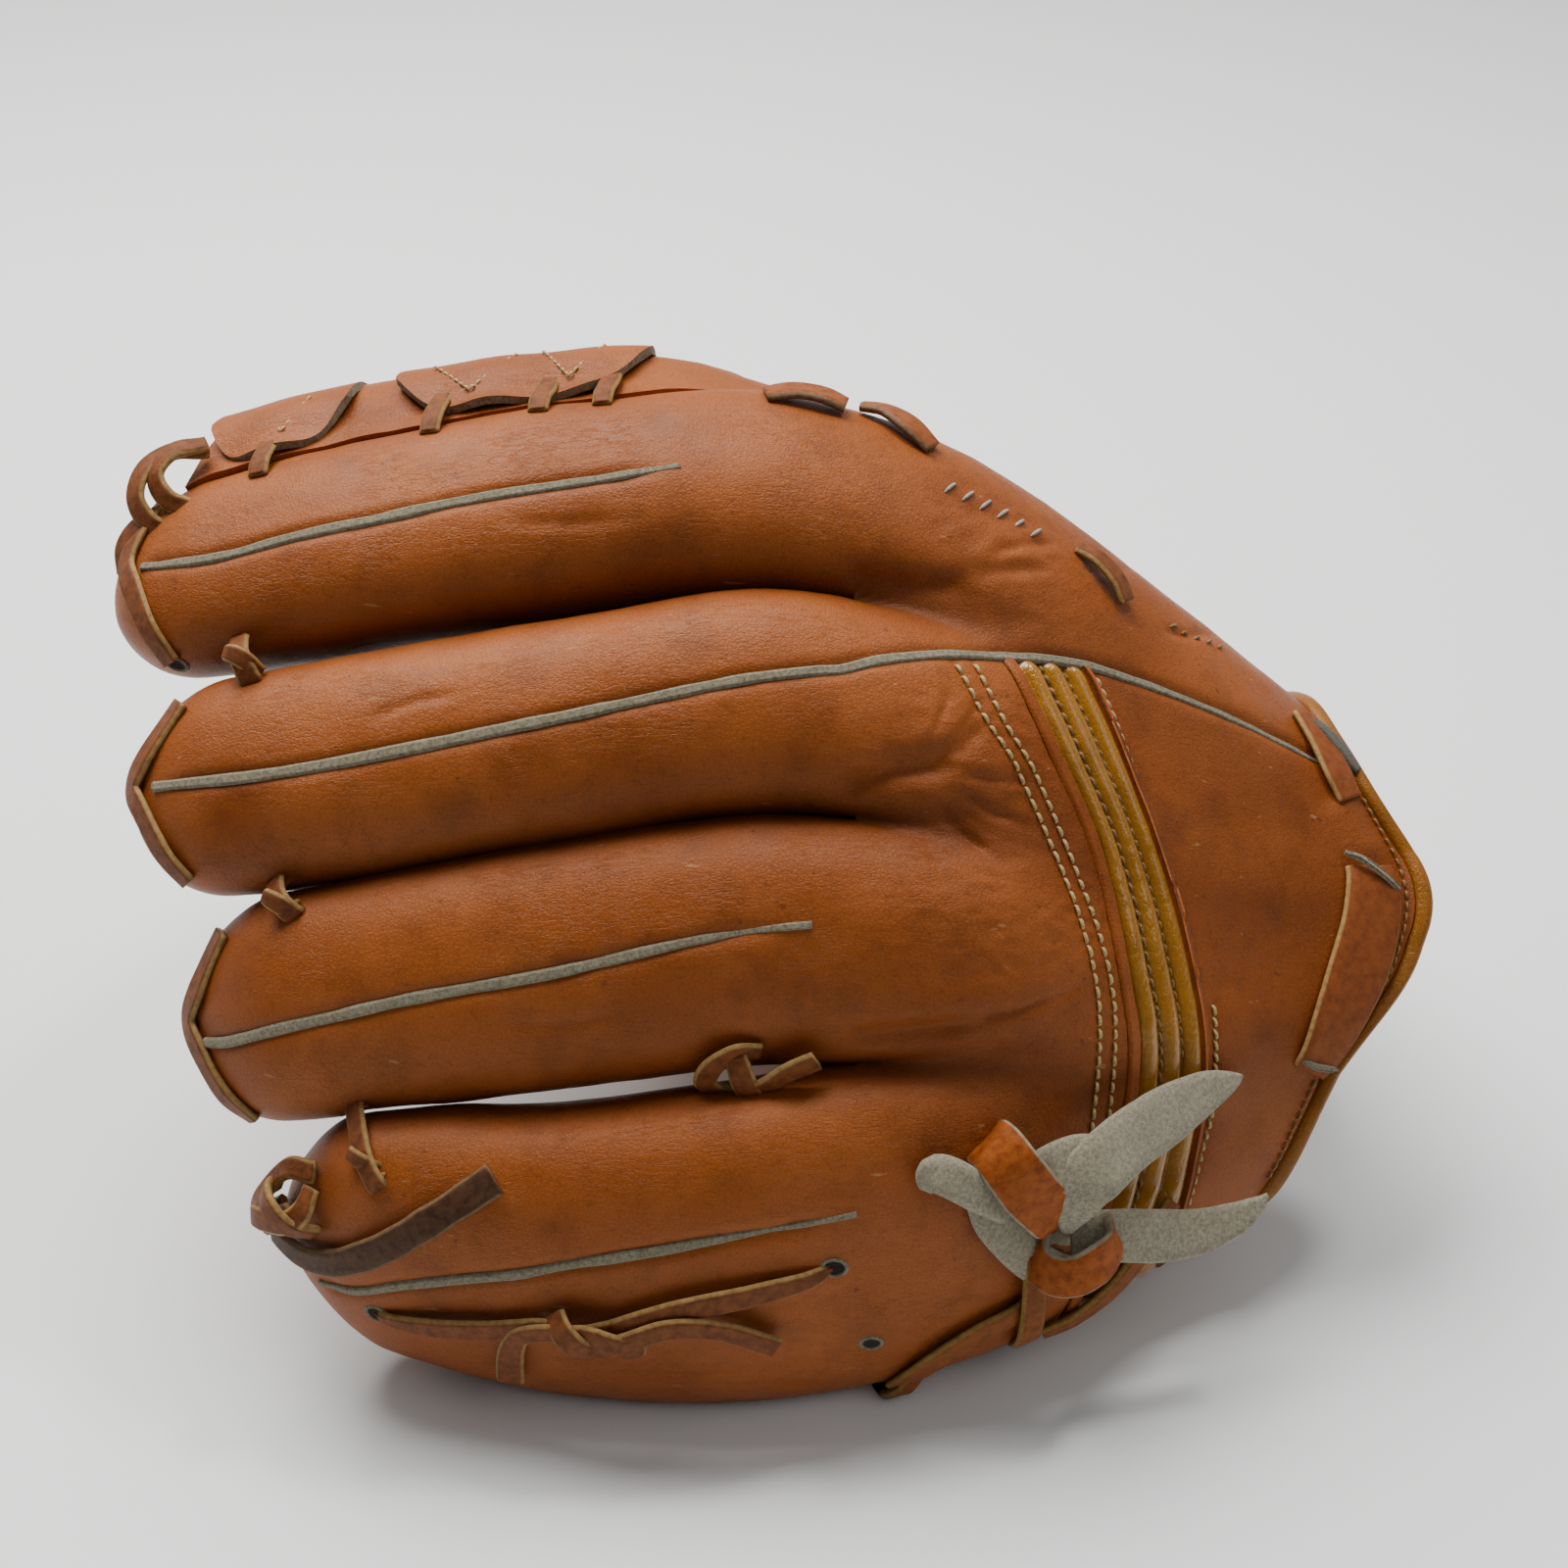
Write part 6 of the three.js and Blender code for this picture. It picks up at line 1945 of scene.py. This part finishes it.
def add_stage():
    mesh = bpy.data.meshes.new("floor")
    half = FLOOR_HALF
    corners = [(-half, -half, 0), (half, -half, 0), (half, half, 0), (-half, half, 0)]
    mesh.from_pydata(corners, [], [(0, 1, 2, 3)])
    material, shader = new_material("floor")
    set_inputs(material, shader, {"Base Color": FLOOR_COLOUR, "Roughness": 0.55})
    mesh.materials.append(material)
    floor = bpy.data.objects.new("floor", mesh)
    floor.location = (0, 0, -FLOOR_DROP)
    bpy.context.scene.collection.objects.link(floor)


# The camera's lens and sensor, its place on the drawing axes, and how far it looks down
LENS = 54
SENSOR_WIDTH = 36
CAMERA_PLACE = np.array([0, -348, 415])
CAMERA_DOWN = 35.3


def add_camera():
    data = bpy.data.cameras.new("camera")
    data.lens = LENS
    data.sensor_width = SENSOR_WIDTH
    camera = bpy.data.objects.new("camera", data)
    camera.location = (CAMERA_PLACE + FRAME_SHIFT) * MM
    camera.rotation_euler = (math.radians(90 - CAMERA_DOWN), 0, 0)
    bpy.context.scene.collection.objects.link(camera)
    bpy.context.scene.camera = camera


# The room: darker in front of the glove than behind it. Each is a ramp position and colour.
WORLD_STRENGTH = 1.0
WORLD_FRONT = (0.0, (0.12, 0.123, 0.128, 1))
WORLD_BACK = (0.6, (0.58, 0.58, 0.55, 1))


def add_world():
    world = bpy.data.worlds.new("world")
    world.use_nodes = True
    nodes = world.node_tree.nodes
    links = world.node_tree.links
    background = nodes["Background"]
    background.inputs["Strength"].default_value = WORLD_STRENGTH
    direction = nodes.new("ShaderNodeTexCoord")
    split = nodes.new("ShaderNodeSeparateXYZ")
    links.new(direction.outputs["Generated"], split.inputs[0])
    shade = nodes.new("ShaderNodeValToRGB")
    links.new(split.outputs["Y"], shade.inputs["Fac"])
    front, back = shade.color_ramp.elements
    front.position, front.color = WORLD_FRONT
    back.position, back.color = WORLD_BACK
    links.new(shade.outputs["Color"], background.inputs["Color"])
    bpy.context.scene.world = world


add_stage()
add_camera()
add_world()
# Lamps: name, place, target, size, power, colour
look_from("key", (-0.35, 0.45, 1.1), (0, 0.02, 0.08), 0.95, 26, (1.0, 0.98, 0.95))
look_from("ceiling", (0.42, 0.36, 1.3), (0.04, 0, 0.08), 0.22, 6, (1.0, 0.99, 0.97))
look_from("fill", (0.7, -0.5, 0.9), (0, 0, 0.08), 0.8, 2.2, (0.97, 0.98, 1.0))
